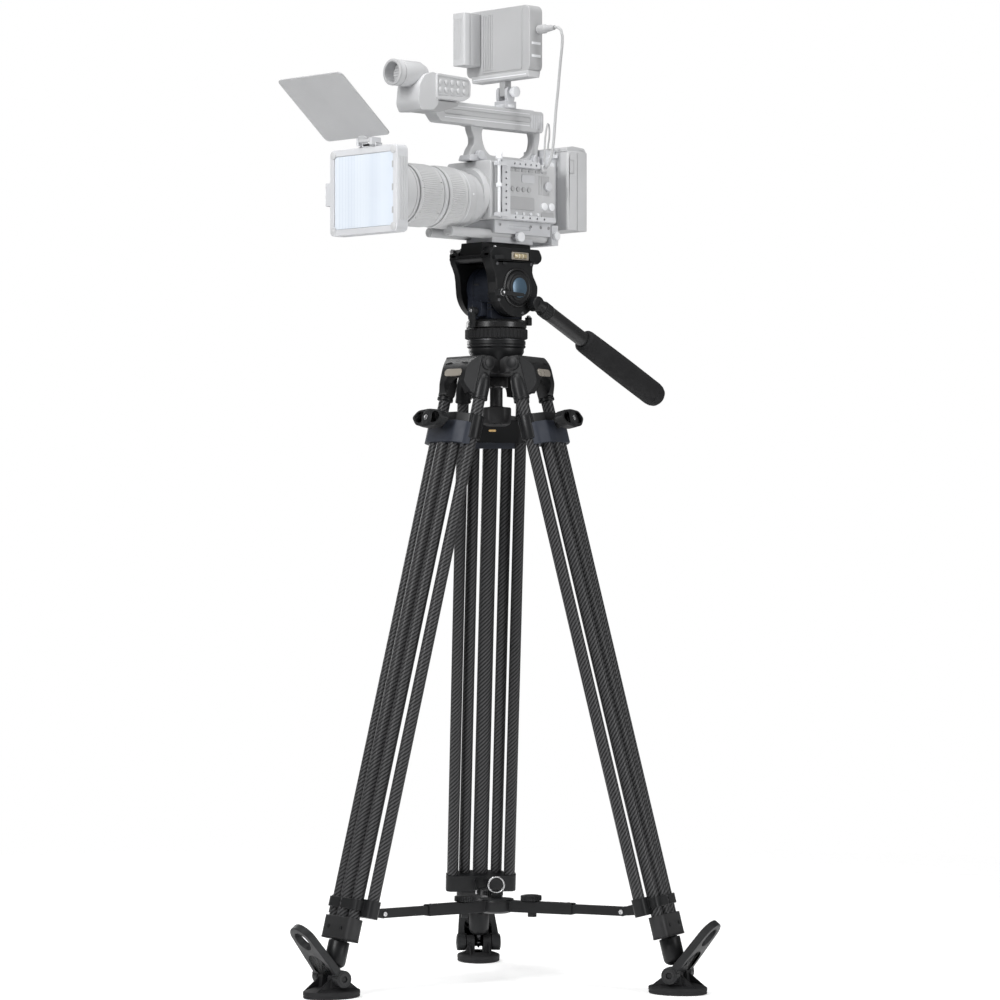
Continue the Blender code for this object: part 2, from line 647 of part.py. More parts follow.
def pan_handle():
    """In the handle's own frame, -Z runs down the tube from the rosette."""
    frame = Matrix.Translation(HANDLE_PIVOT) @ Matrix.Rotation(math.pi / 2 - HANDLE_SLOPE, 4, "X")
    shapes = [
        rod(0.0118, "x", -0.0103, 0.0070, sides=16),
        rod(0.0102, "z", -0.0330, 0.0),
        rod(0.0122, "z", -0.2900, -0.0320, sides=14),
    ]
    part("pan_handle", "casting", shapes, (), frame)
    outline = [(0.0080, -0.3165), (0.0168, -0.3110), (0.0202, -0.2980), (0.0204, -0.2200), (0.0190, -0.1250),
               (0.0150, -0.1180)]
    grip = turned(outline, sides=14)
    part("handle_grip", "rubber", [grip], [rod(0.0125, "z", -0.2903, -0.1, sides=14)], frame, (0, 0, -0.2))


# Camera rig


def rig_base():
    shapes = [
        block((-0.0300, 0.0300), (-0.0380, 0.0520), (PLATE_TOP + FIT_GAP, 1.1930)),
        block((-0.0370, 0.0370), (-0.0390, 0.0870), (1.1915, RIG_PLATE_TOP)),
        block((-0.0480, 0.0400), (0.0850, 0.1000), (1.1780, 1.2100)),
        rod(0.0075, "y", -0.1250, 0.0950, (-0.0240, 0, 1.1900)),
        rod(0.0075, "y", -0.1250, 0.0950, (0.0240, 0, 1.1900)),
    ]
    part("base_plate", "rig_light", shapes, (), pivot=(0, 0, PLATE_TOP))


def camera_body():
    low = RIG_PLATE_TOP + FIT_GAP
    shapes = [
        block((-0.0550, 0.0450), (-0.0560, 0.0870), (low, 1.3050), 0.004),
        rod(0.0440, "y", -0.0665, -0.0500, (0, 0, LENS_HEIGHT + 0.0135), 24),
        rod(0.0050, "z", 1.2500, 1.3053, (0.0300, 0.0780, 0), 8),
        rod(0.0055, "x", 0.0400, 0.0562, (0, 0.0530, 1.2975), 8),
    ]
    part("camera_body", "rig_grey", shapes, (), pivot=(0, 0, low))


def camera_cage():
    x = (0.0465, 0.0550)
    shapes = [
        block(x, (-0.0400, -0.0220), (1.2125, 1.3050)),
        block(x, (-0.0400, 0.0450), (1.2960, 1.3060)),
        block(x, (-0.0400, 0.0800), (1.2125, 1.2200)),
        rod(0.0026, "z", 1.2150, 1.3080, (0.0550, -0.0470, 0), 8),
        block((0.0470, 0.0580), (-0.0500, -0.0300), (1.2160, 1.2220)),
        block((0.0470, 0.0580), (-0.0500, -0.0300), (1.2960, 1.3020)),
        rod(0.0055, "z", 1.3050, 1.3170, (0.0550, -0.0470, 0), 10),
    ]
    part("camera_cage", "rig_light", shapes, (), pivot=(0.05, 0, 1.2125))


def top_handle():
    """A bar on a slimmer frame with the finger gap cut through it, both as side outlines (y, z)."""
    low = 1.3053
    bar = [
        (0.0935, 1.3620), (0.0935, HANDLE_BAR[1] - 0.003), (0.0900, HANDLE_BAR[1]), (-0.1640, HANDLE_BAR[1]),
        (-0.1640, 1.3800), (-0.1450, 1.3750), (-0.1330, HANDLE_BAR[0]),
    ]
    struts = [
        (-0.0700, low), (0.0860, low), (0.0860, 1.3345), (0.0905, 1.3500), (0.0900, 1.3720), (-0.0640, 1.3720),
        (-0.0630, 1.3560), (-0.0560, 1.3420), (-0.0560, 1.3330), (-0.0640, 1.3230),
    ]
    gap = [
        (-0.0200, 1.3170), (0.0560, 1.3170), (0.0690, 1.3250), (0.0755, 1.3370), (0.0770, 1.3500),
        (0.0740, 1.3610), (-0.0340, 1.3610), (-0.0390, 1.3520), (-0.0370, 1.3380), (-0.0310, 1.3250),
    ]
    shapes = [prism(struts, "x", -0.0080, 0.0080), prism(bar, "x", -0.0130, 0.0130)]
    shapes += [block((-0.0130, 0.0130), y, (low, 1.3150)) for y in ((-0.0720, -0.0300), (0.0500, 0.0870))]
    part("top_handle", "rig_grey", shapes, [prism(gap, "x", -0.02, 0.02)], pivot=(0, 0, low))


def lens():
    centre = (0, 0, LENS_HEIGHT)
    barrel = [
        (0.0440, -0.2617), (0.0440, -0.2400), (0.0470, -0.2300), (0.0470, -0.2090), (0.0440, -0.2088),
        (0.0440, -0.1560), (0.0470, -0.1555), (0.0470, -0.1475), (0.0430, -0.1473), (0.0430, -0.1050),
        (0.0468, -0.1048), (0.0455, -0.0860), (0.0410, -0.0780), (0.0410, -0.0668),
    ]
    shapes = [turned(barrel, "y", centre, 20), block((-0.0120, 0.0120), (-0.1040, -0.0840), (1.1880, 1.2100))]
    front_opening = rod(0.0390, "y", -0.2700, -0.2550, centre, 20)
    part("lens_barrel", "rig_grey", shapes, [front_opening], pivot=centre)
    for name, start, end, outer, inner in (
        ("focus_ring", -0.2070, -0.1580, 0.0492, 0.0448),
        ("zoom_ring", -0.1458, -0.1065, 0.0490, 0.0438),
    ):
        ring = rod(outer, "y", start, end, centre, 24)
        bore = rod(inner, "y", start - 0.01, end + 0.01, centre, 20)
        part(name, "rig_grey", [ring], [bore], pivot=(0, start, LENS_HEIGHT))


def matte_box():
    x, z = 0.0775, (1.1770, 1.3105)
    corner = 0.009
    outline = [
        (-x + corner, z[0]), (x - corner, z[0]), (x, z[0] + corner), (x, z[1] - corner),
        (x - corner, z[1]), (-x + corner, z[1]), (-x, z[1] - corner), (-x, z[0] + corner),
    ]
    frame = prism(outline, "y", -0.2850, -0.2621)
    latch = block((-0.0905, -0.0770), (-0.2830, -0.2680), (1.2250, 1.2610))
    knuckle = block((-0.0080, 0.0280), (-0.2840, -0.2700), (1.3080, 1.3160))
    ears = [
        block(sorted((0.010 + s * 0.0125, 0.010 + s * 0.0175)), (-0.2930, -0.2720), (1.3120, 1.3245))
        for s in (-1, 1)
    ]
    tunnel = block((-0.0640, 0.0640), (-0.2900, -0.2700), (1.1905, 1.2965))
    seat = block((-0.0675, 0.0675), (-0.2900, -0.2790), (1.1870, 1.3000))
    throat = rod(0.0446, "y", -0.2800, -0.2550, (0, 0, LENS_HEIGHT), 24)
    shapes = [frame, latch, knuckle] + ears
    part("matte_box", "rig_light", shapes, [tunnel, seat, throat], pivot=(0, -0.27, LENS_HEIGHT))
    glass = block((-0.0672, 0.0672), (-0.2835, -0.2793), (1.1873, 1.2997))
    part("filter_glass", "filter", [glass], (), pivot=(0, -0.2814, LENS_HEIGHT))


def matte_flag():
    """A thin plate with round corners, rising forward from its hinge knuckle."""
    half, length, radius = 0.0735, 0.1335, 0.009
    outline = []
    for cx, cy, start in ((half, 0.0, 270), (half, length, 0), (-half, length, 90), (-half, 0.0, 180)):
        centre = (cx - math.copysign(radius, cx), cy + (radius if cy == 0 else -radius))
        outline += arc(centre, radius, start, start + 90, 3)
    plate = prism([(px - FLAG_HINGE.x, py + 0.0060) for px, py in outline], "z", -0.0010, 0.0012)
    tongue = block((-0.0100, 0.0100), (-0.0010, 0.0200), (-0.0025, 0.0025))
    barrel = rod(0.0036, "x", -0.0120, 0.0120, sides=10)
    turn = Matrix.Rotation(math.pi, 4, "Z") @ Matrix.Rotation(FLAG_SLOPE, 4, "X")
    frame = Matrix.Translation(FLAG_HINGE) @ turn
    flip = Matrix.Scale(-1, 4, (1, 0, 0))
    part("matte_flag", "rig_grey", [turn_shape(s, flip) for s in (plate, tongue, barrel)], (), frame)


def audio_unit():
    tube = turned([(0.0205, -0.2255), (0.0205, -0.1720), (0.0160, -0.1610)], "y", (0, 0, MIC_HEIGHT), 16)
    nose = [
        (-0.1900, 1.4140), (-0.1930, 1.3860), (-0.1870, 1.3740), (-0.1660, 1.3760), (-0.1660, 1.3943),
        (-0.0980, 1.3943), (-0.0840, 1.4020), (-0.0830, 1.4240), (-0.0900, 1.4320), (-0.1600, 1.4355),
        (-0.1790, 1.4300),
    ]
    shapes = [prism(nose, "x", -0.0290, 0.0290), tube]
    hollow = rod(0.0165, "y", -0.2300, -0.2060, (0, 0, MIC_HEIGHT), 16)
    part("audio_unit", "rig_grey", shapes, [hollow], pivot=(0, -0.16, HANDLE_BAR[1]))


def monitor_parts():
    hinge = MONITOR_HINGE
    shoe = [
        block((-0.0130, 0.0130), (hinge.y - 0.0120, hinge.y + 0.0120), (HANDLE_BAR[1] + FIT_GAP, 1.4060)),
        block((-0.0130, -0.0068), (hinge.y - 0.0085, hinge.y + 0.0085), (1.4040, 1.4290)),
        block((0.0068, 0.0130), (hinge.y - 0.0085, hinge.y + 0.0085), (1.4040, 1.4290)),
        rod(0.0085, "x", 0.0190, 0.0270, (0, hinge.y, hinge.z)),
        rod(0.0040, "x", 0.0100, 0.0200, (0, hinge.y, hinge.z), 8),
    ]
    part("monitor_mount", "rig_light", shoe, (), pivot=(0, hinge.y, HANDLE_BAR[1]))
    y, z = MONITOR["y"], MONITOR["z"]
    x = MONITOR["x"]
    shapes = [
        block((-x, x), y, z, 0.004),
        block((-0.0600, x - 0.001), (y[0] + 0.001, y[1] - 0.004), (1.4385, 1.4500)),
        block((-0.0064, 0.0064), (hinge.y - 0.0075, hinge.y + 0.0075), (1.4135, 1.4400)),
    ]
    screen = block((-x + 0.010, x - 0.010), (y[1] - 0.0015, y[1] + 0.01), (z[0] + 0.012, z[1] - 0.008))
    part("monitor", "rig_grey", shapes, [screen], pivot=hinge)
    battery = block((-0.0650, -0.0376), (-0.0346, y[0] - FIT_GAP), (1.4636, 1.5475), 0.0015)
    part("monitor_battery", "rig_light", [battery], (), pivot=(-0.05, 0.0, 1.5))
    plug = turned([(0.0072, x + FIT_GAP), (0.0072, x + 0.0160), (0.0058, x + 0.0170),
                   (0.0036, 0.1082)], "x", (0, 0.0230, 1.5140), 12)
    part("cable_plug", "rig_grey", [plug], (), pivot=(x, 0.023, 1.514))


def rear_battery():
    low, high = 1.2150, 1.3210
    shapes = [
        block((-0.0480, 0.0200), (0.0873, 0.1160), (low, high), 0.003),
        block((-0.0300, 0.0180), (0.0900, 0.1155), (1.3180, 1.3330)),
    ]
    part("battery_plate", "rig_grey", shapes, (), pivot=(0, 0.0873, 1.27))
    part("rear_battery", "rig_grey", [block((-0.0520, 0.0450), (0.1163, 0.1620), (1.2040, 1.3400), 0.005)], (),
         pivot=(0, 0.1163, 1.27))


def smooth_route(points, step):
    """Points on a Catmull-Rom curve through a route, about a step apart."""
    route = [Vector(p) for p in points]
    route = [2 * route[0] - route[1]] + route + [2 * route[-1] - route[-2]]
    found = []
    for i in range(1, len(route) - 2):
        p0, p1, p2, p3 = route[i - 1 : i + 3]
        count = max(1, round((p2 - p1).length / step))
        for j in range(count):
            t = j / count
            found.append(0.5 * (2 * p1 + (p2 - p0) * t + (2 * p0 - 5 * p1 + 4 * p2 - p3) * t**2
                                + (3 * p1 - p0 - 3 * p2 + p3) * t**3))
    found.append(route[-2])
    return found


def cable(name, route, radius, step):
    curve = bpy.data.curves.new(name, "CURVE")
    curve.dimensions = "3D"
    curve.bevel_depth = radius
    curve.bevel_resolution = 2
    curve.use_fill_caps = True
    points = smooth_route(route, step)
    spline = curve.splines.new("POLY")
    spline.points.add(len(points) - 1)
    for target, point in zip(spline.points, points):
        target.co = (*point, 1.0)
    curve.materials.append(MATERIALS["cable"])
    item = bpy.data.objects.new(name, curve)
    bpy.context.scene.collection.objects.link(item)
    item.parent = base


def main():
    crown()
    half_ball()
    tie_down()
    for name, azimuth in LEG_AZIMUTH.items():
        frame = leg_frame(azimuth)
        shoulder(name, frame)
        upper_frame(name, frame)
        middle_frame(name, frame)
        lower_tube(name, frame)
        lock_knob(name, frame)
        ankle = upright_frame(azimuth, ankle_radius(), ANKLE_HEIGHT)
        foot_pad(name, ankle)
        foot_lever(name, ankle)
        spreader_arm(name, azimuth)
    spreader_hub()
    pull_ring()
    pan_parts()
    drum_housing()
    tilt_cradle()
    head_controls()
    pan_handle()
    rig_base()
    camera_body()
    camera_cage()
    top_handle()
    lens()
    matte_box()
    matte_flag()
    audio_unit()
    monitor_parts()
    rear_battery()
    cable("monitor_cable", MONITOR_CABLE, MONITOR_CABLE_RADIUS, 0.0130)
    cable("loop_cable", LOOP_CABLE, LOOP_CABLE_RADIUS, 0.009)
    finish_meshes()


main()
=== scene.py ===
"""Looks of the film camera on its tripod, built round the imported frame.

The lens looks along -Y, +X is the operator's left, +Z is up and the feet stand on z = 0.
Head and camera pieces are placed from the tripod's own axis, and leg pieces from each leg's hinge.
"""

import json
import math

import bmesh
import bpy
from mathutils import Matrix, Vector


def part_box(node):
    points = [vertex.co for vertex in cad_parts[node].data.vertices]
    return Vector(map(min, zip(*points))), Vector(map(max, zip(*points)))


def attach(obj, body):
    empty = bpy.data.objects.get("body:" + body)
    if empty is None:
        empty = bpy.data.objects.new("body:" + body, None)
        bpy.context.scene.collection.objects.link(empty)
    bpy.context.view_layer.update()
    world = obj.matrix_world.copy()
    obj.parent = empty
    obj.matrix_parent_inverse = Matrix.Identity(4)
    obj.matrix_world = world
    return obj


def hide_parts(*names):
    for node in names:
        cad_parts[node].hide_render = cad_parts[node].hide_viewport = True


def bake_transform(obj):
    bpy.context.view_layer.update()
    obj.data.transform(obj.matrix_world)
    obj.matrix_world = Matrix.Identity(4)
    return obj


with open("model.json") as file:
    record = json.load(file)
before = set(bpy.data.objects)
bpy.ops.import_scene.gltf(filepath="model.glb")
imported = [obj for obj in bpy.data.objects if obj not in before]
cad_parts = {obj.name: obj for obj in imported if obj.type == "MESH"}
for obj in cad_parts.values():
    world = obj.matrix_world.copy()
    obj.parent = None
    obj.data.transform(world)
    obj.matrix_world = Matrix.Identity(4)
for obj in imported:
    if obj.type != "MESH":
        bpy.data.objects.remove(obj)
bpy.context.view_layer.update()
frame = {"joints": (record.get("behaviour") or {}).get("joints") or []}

JOINTS = {joint["name"]: joint for joint in frame["joints"]}
PAN_AXIS = Vector(JOINTS["pan"]["pos_m"])
AXIS = Vector((PAN_AXIS.x, PAN_AXIS.y, 0.0))
BASE = Matrix.Translation(AXIS)
LEGS = ("front", "left", "right")

# Camera, at the photograph's viewing angle

VIEW_AZIMUTH = math.radians(46)
VIEW_DISTANCE = 5.8
VIEW_HEIGHT = 0.706
VIEW_LENS = 131.04
VIEW_SHIFT = (0.0037, 0.04)
TO_CAMERA = Vector((math.sin(VIEW_AZIMUTH), -math.cos(VIEW_AZIMUTH), 0.0))
TO_RIGHT = Vector((math.cos(VIEW_AZIMUTH), math.sin(VIEW_AZIMUTH), 0.0))


def add_camera():
    data = bpy.data.cameras.new("camera")
    data.lens = VIEW_LENS
    data.sensor_width = 36
    data.shift_x, data.shift_y = VIEW_SHIFT
    data.clip_end = 60
    camera = bpy.data.objects.new("camera", data)
    camera.location = AXIS + TO_CAMERA * VIEW_DISTANCE + Vector((0, 0, VIEW_HEIGHT))
    camera.rotation_euler = (math.pi / 2, 0, VIEW_AZIMUTH)
    bpy.context.scene.collection.objects.link(camera)
    bpy.context.scene.camera = camera


# Shapes: each is (points, faces), closed


def loft(rings, closed_ends=True):
    count = len(rings[0])
    points = [tuple(p) for ring in rings for p in ring]
    faces = []
    for level in range(len(rings) - 1):
        for i in range(count):
            j = (i + 1) % count
            low, high = level * count, (level + 1) * count
            faces.append((low + i, low + j, high + j, high + i))
    if closed_ends:
        faces.append(tuple(reversed(range(count))))
        faces.append(tuple(range(len(points) - count, len(points))))
    return points, faces


def along(axis, a, b, c):
    return {"x": (c, a, b), "y": (a, c, b), "z": (a, b, c)}[axis]


def prism(outline, axis, start, end):
    """An outline across the axis: (y, z) for x, (x, z) for y, (x, y) for z."""
    return loft([[along(axis, a, b, c) for a, b in outline] for c in (start, end)])


def span(side, near, far):
    """Two distances out to one side, in rising order."""
    return sorted((side * near, side * far))


def block(x, y, z):
    return prism([(x[0], y[0]), (x[1], y[0]), (x[1], y[1]), (x[0], y[1])], "z", *z)


def turned(profile, axis="z", centre=(0, 0, 0), sides=64):
    """Radii and heights along an axis, turned round it."""
    rings = []
    for radius, height in profile:
        angles = [2 * math.pi * i / sides for i in range(sides)]
        ring = [along(axis, radius * math.cos(t), radius * math.sin(t), height) for t in angles]
        rings.append([Vector(p) + Vector(centre) for p in ring])
    return loft(rings)


def rod(radius, axis, start, end, centre=(0, 0, 0), sides=40):
    return turned([(radius, start), (radius, end)], axis, centre, sides)


def knurled(radius, depth, teeth, start, end, axis="z", centre=(0, 0, 0), flat=0.5):
    """A short cylinder with flat-topped ridges all round."""
    rings = []
    slope = 0.12
    for height, inset in ((start, 0.0006), (start + 0.0008, 0), (end - 0.0008, 0), (end, 0.0006)):
        ring = []
        for i in range(teeth):
            for share, low in ((0, 0), (flat, 0), (flat + slope, 1), (1 - slope, 1)):
                t = 2 * math.pi * (i + share) / teeth
                reach = radius - inset - depth * low
                ring.append(Vector(along(axis, reach * math.cos(t), reach * math.sin(t),
                                         height)) + Vector(centre))
        rings.append(ring)
    return loft(rings)


def arc(centre, radius, start, end, steps, squash=1.0):
    spread = [math.radians(start + (end - start) * i / steps) for i in range(steps + 1)]
    return [(centre[0] + radius * math.cos(t), centre[1] + radius * squash * math.sin(t)) for t in spread]


def capsule(centre, length, width, steps=8):
    """The outline of a bar with round ends, along its first coordinate."""
    half = (length - width) / 2
    right = arc((centre[0] + half, centre[1]), width / 2, -90, 90, steps)
    return right + arc((centre[0] - half, centre[1]), width / 2, 90, 270, steps)


def mirrored(outline):
    return outline + [(a, -b) for a, b in reversed(outline)]


def rounded(outline, radius, steps=4):
    """The outline with each corner turned into a small curve."""
    points = [Vector(p) for p in outline]
    found = []
    for before, corner, after in zip(points[-1:] + points[:-1], points, points[1:] + points[:1]):
        back, ahead = before - corner, after - corner
        reach = min(radius, back.length * 0.45, ahead.length * 0.45)
        start, end = corner + back.normalized() * reach, corner + ahead.normalized() * reach
        for i in range(steps + 1):
            t = i / steps
            found.append(tuple(start * (1 - t) ** 2 + corner * 2 * t * (1 - t) + end * t**2))
    return found


def turn_shape(shape, matrix):
    points, faces = shape
    return [tuple(matrix @ Vector(p)) for p in points], faces


def joined(shapes):
    points, faces = [], []
    for more_points, more_faces in shapes:
        start = len(points)
        points += more_points
        faces += [tuple(i + start for i in face) for face in more_faces]
    return points, faces


def mesh_of(name, shapes, matrix):
    mesh = bpy.data.meshes.new(name)
    points, faces = joined(shapes)
    mesh.from_pydata([tuple(matrix @ Vector(p)) for p in points], [], faces)
    shell = bmesh.new()
    shell.from_mesh(mesh)
    bmesh.ops.recalc_face_normals(shell, faces=shell.faces)
    shell.to_mesh(mesh)
    shell.free()
    return mesh


def place(item, material, body, replaces):
    item.data.materials.clear()
    item.data.materials.append(MATERIALS[material])
    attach(item, body)
    if replaces:
        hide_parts(*replaces)
    return item


def piece(name, material, body, shapes, cuts=(), matrix=Matrix(), bevel=0.0005, replaces=(), sharp=35):
    """One piece of the object: its shapes, less its cuts, with softened edges."""
    item = bpy.data.objects.new(name, mesh_of(name, shapes, BASE @ matrix))
    bpy.context.scene.collection.objects.link(item)
    if cuts:
        tool = bpy.data.objects.new(name + "_tool", mesh_of(name + "_tool", cuts, BASE @ matrix))
        bpy.context.scene.collection.objects.link(tool)
        boolean = item.modifiers.new("cut", "BOOLEAN")
        boolean.operation = "DIFFERENCE"
        boolean.solver = "EXACT"
        boolean.use_self = True
        boolean.object = tool
        cut_mesh = bpy.data.meshes.new_from_object(item.evaluated_get(bpy.context.evaluated_depsgraph_get()))
        item.modifiers.clear()
        item.data = cut_mesh
        bpy.data.objects.remove(tool)
    item.data.shade_smooth()
    item.data.set_sharp_from_angle(angle=math.radians(sharp))
    if bevel:
        weld = item.modifiers.new("weld", "WELD")
        weld.merge_threshold = 0.00002
        edges = item.modifiers.new("edges", "BEVEL")
        edges.width = bevel
        edges.segments = 2
        edges.limit_method = "ANGLE"
        edges.angle_limit = math.radians(sharp)
        edges.use_clamp_overlap = not cuts
        edges.harden_normals = True
    return place(item, material, body, replaces)


def tube(name, body, matrix, runs, replaces=()):
    """Round tubes up the frame's Z, as (x, y, radius, low, high), with a weave map in metres."""
    sides, step = 32, 0.05
    shapes, maps = [], []
    for x, y, radius, low, high in runs:
        levels = max(1, round((high - low) / step))
        heights = [low + (high - low) * i / levels for i in range(levels + 1)]
        shapes.append(turned([(radius, h) for h in heights], centre=(x, y, 0), sides=sides))
        maps.append((radius, heights))
    item = bpy.data.objects.new(name, mesh_of(name, shapes, BASE @ matrix))
    bpy.context.scene.collection.objects.link(item)
    weave = item.data.uv_layers.new(name="weave")
    shell = 0
    polygons = iter(item.data.polygons)
    for radius, heights in maps:
        for level in range(len(heights) - 1):
            for side in range(sides):
                polygon = next(polygons)
                for loop in polygon.loop_indices:
                    index = item.data.loops[loop].vertex_index - shell
                    ring, column = divmod(index, sides)
                    column += sides if side == sides - 1 and column == 0 else 0
                    weave.data[loop].uv = (2 * math.pi * radius * column / sides, heights[ring])
        next(polygons)
        next(polygons)
        shell += sides * len(heights)
    item.data.shade_smooth()
    item.data.set_sharp_from_angle(angle=math.radians(35))
    return place(item, "carbon", body, replaces)


# Materials

MATERIALS = {}


class Nodes:
    """A material's node tree, with short ways to add what the materials here share."""

    def __init__(self, name, color, roughness, metallic=0.0, **sockets):
        self.material = bpy.data.materials.new(name)
        self.material.use_nodes = True
        self.tree = self.material.node_tree
        self.shader = self.tree.nodes["Principled BSDF"]
        self.shader.inputs["Base Color"].default_value = (*color, 1.0)
        self.shader.inputs["Roughness"].default_value = roughness
        self.shader.inputs["Metallic"].default_value = metallic
        for socket, value in sockets.items():
            self.shader.inputs[socket.replace("_", " ")].default_value = value
        self.place = self.add("ShaderNodeTexCoord").outputs["Object"]
        MATERIALS[name] = self.material

    def add(self, kind, **values):
        node = self.tree.nodes.new(kind)
        for key, value in values.items():
            setattr(node, key, value)
        return node

    def link(self, source, target):
        self.tree.links.new(source, target)

    def math(self, operation, first, second=None):
        node = self.add("ShaderNodeMath", operation=operation)
        for socket, value in zip(node.inputs, (first, second)):
            if value is None:
                continue
            if isinstance(value, (int, float)):
                socket.default_value = value
            else:
                self.link(value, socket)
        return node.outputs[0]

    def noise(self, scale, detail=3.0, stretch=None):
        texture = self.add("ShaderNodeTexNoise")
        texture.inputs["Scale"].default_value = scale
        texture.inputs["Detail"].default_value = detail
        source = self.place
        if stretch:
            mapping = self.add("ShaderNodeMapping")
            mapping.inputs["Scale"].default_value = stretch
            self.link(self.place, mapping.inputs["Vector"])
            source = mapping.outputs["Vector"]
        self.link(source, texture.inputs["Vector"])
        return texture.outputs["Fac"]

    def spread(self, value, low, high, start=0.3, end=0.7):
        """The value, from start to end, turned into low to high."""
        node = self.add("ShaderNodeMapRange")
        self.link(value, node.inputs["Value"])
        for socket, number in zip(("From Min", "From Max", "To Min", "To Max"), (start, end, low, high)):
            node.inputs[socket].default_value = number
        return node.outputs["Result"]

    def colors(self, value, first, second):
        node = self.add("ShaderNodeMix", data_type="RGBA")
        self.link(value, node.inputs["Factor"])
        node.inputs[6].default_value = (*first, 1.0)
        node.inputs[7].default_value = (*second, 1.0)
        self.link(node.outputs[2], self.shader.inputs["Base Color"])

    def roughness(self, value, low, high):
        self.link(self.spread(value, low, high), self.shader.inputs["Roughness"])

    def bump(self, height, distance, strength=1.0):
        node = self.add("ShaderNodeBump")
        node.inputs["Distance"].default_value = distance
        node.inputs["Strength"].default_value = strength
        self.link(height, node.inputs["Height"])
        self.link(node.outputs["Normal"], self.shader.inputs["Normal"])


def grained(name, dark, light, roughness, grain, depth, metallic=0.0, **sockets):
    """A satin surface: a fine grain, and slow changes of tone and gloss."""
    nodes = Nodes(name, dark, roughness, metallic, **sockets)
    slow = nodes.noise(9.0, 4.0)
    nodes.colors(nodes.spread(slow, 0.0, 1.0), dark, light)
    nodes.roughness(nodes.noise(60.0, 5.0), roughness - 0.05, roughness + 0.07)
    nodes.bump(nodes.noise(grain, 2.0), depth)


def carbon():
    """Two-by-two twill of flat tows under clear resin, mapped in metres round and along each tube."""
    tow = 0.00175
    nodes = Nodes("carbon", (0.03, 0.03, 0.032), 0.34, Specular_IOR_Level=0.12, Coat_Weight=0.05,
                  Coat_Roughness=0.15)
    weave = nodes.add("ShaderNodeUVMap", uv_map="weave").outputs["UV"]
    parts = nodes.add("ShaderNodeSeparateXYZ")
    nodes.link(weave, parts.inputs[0])
    across = nodes.math("DIVIDE", parts.outputs["X"], tow)
    up = nodes.math("DIVIDE", parts.outputs["Y"], tow)
    cell = nodes.math("SUBTRACT", nodes.math("FLOOR", across), nodes.math("FLOOR", up))
    over = nodes.math("LESS_THAN", nodes.math("FLOORED_MODULO", cell, 4.0), 1.5)
    profiles = []
    for position in (across, up):
        share = nodes.math("FRACT", position)
        profiles.append(nodes.math("SINE", nodes.math("MULTIPLY", share, math.pi)))
    choose = nodes.add("ShaderNodeMix", data_type="FLOAT")
    nodes.link(over, choose.inputs["Factor"])
    nodes.link(profiles[1], choose.inputs["A"])
    nodes.link(profiles[0], choose.inputs["B"])
    height = choose.outputs["Result"]
    fibres = nodes.noise(2600.0, 2.0)
    tone = nodes.math("ADD", nodes.math("MULTIPLY", over, 0.75), nodes.math("MULTIPLY", height, 0.25))
    tone = nodes.math("MULTIPLY", tone, nodes.spread(fibres, 0.75, 1.1))
    # The twill pattern is real, but the much lighter colour of the tows that lie over, and the lighter middle
    # of each tow, are painted sheen. They stand in for how the fibres catch the light.
    nodes.colors(tone, (0.0004, 0.0004, 0.0005), (0.088, 0.088, 0.091))
    nodes.link(nodes.spread(over, 0.42, 0.27, 0.0, 1.0), nodes.shader.inputs["Roughness"])
    nodes.bump(height, 0.00012, 0.7)


def brushed(name, color, roughness, stretch):
    nodes = Nodes(name, color, roughness, 1.0)
    lines = nodes.noise(500.0, 3.0, stretch)
    nodes.roughness(lines, roughness - 0.06, roughness + 0.1)
    dim = tuple(channel * 0.82 for channel in color)
    nodes.colors(nodes.spread(lines, 0.0, 1.0), dim, color)
    nodes.bump(lines, 0.00002)


def glass():
    """Coated filter glass: pale blue, with faint streaks and a few thin lines standing up and down it."""
    nodes = Nodes("filter", (0.66, 0.74, 0.84), 0.08, Transmission_Weight=0.08, IOR=1.5, Coat_Weight=0.3)
    streaks = nodes.noise(26.0, 3.0, (1.0, 1.0, 0.015))
    parts = nodes.add("ShaderNodeSeparateXYZ")
    nodes.link(nodes.place, parts.inputs[0])
    wave = nodes.math("SINE", nodes.math("MULTIPLY", parts.outputs["X"], 900.0))
    near_edge = nodes.spread(parts.outputs["X"], 1.0, 0.0, -0.055, -0.02)
    lines = nodes.math("MULTIPLY", nodes.spread(wave, 0.0, 0.5, 0.86, 0.97), near_edge)
    tone = nodes.math("SUBTRACT", nodes.spread(streaks, 0.25, 1.0, 0.35, 0.65), lines)
    nodes.colors(tone, (0.68, 0.75, 0.85), (0.85, 0.91, 0.98))
    nodes.roughness(streaks, 0.06, 0.12)


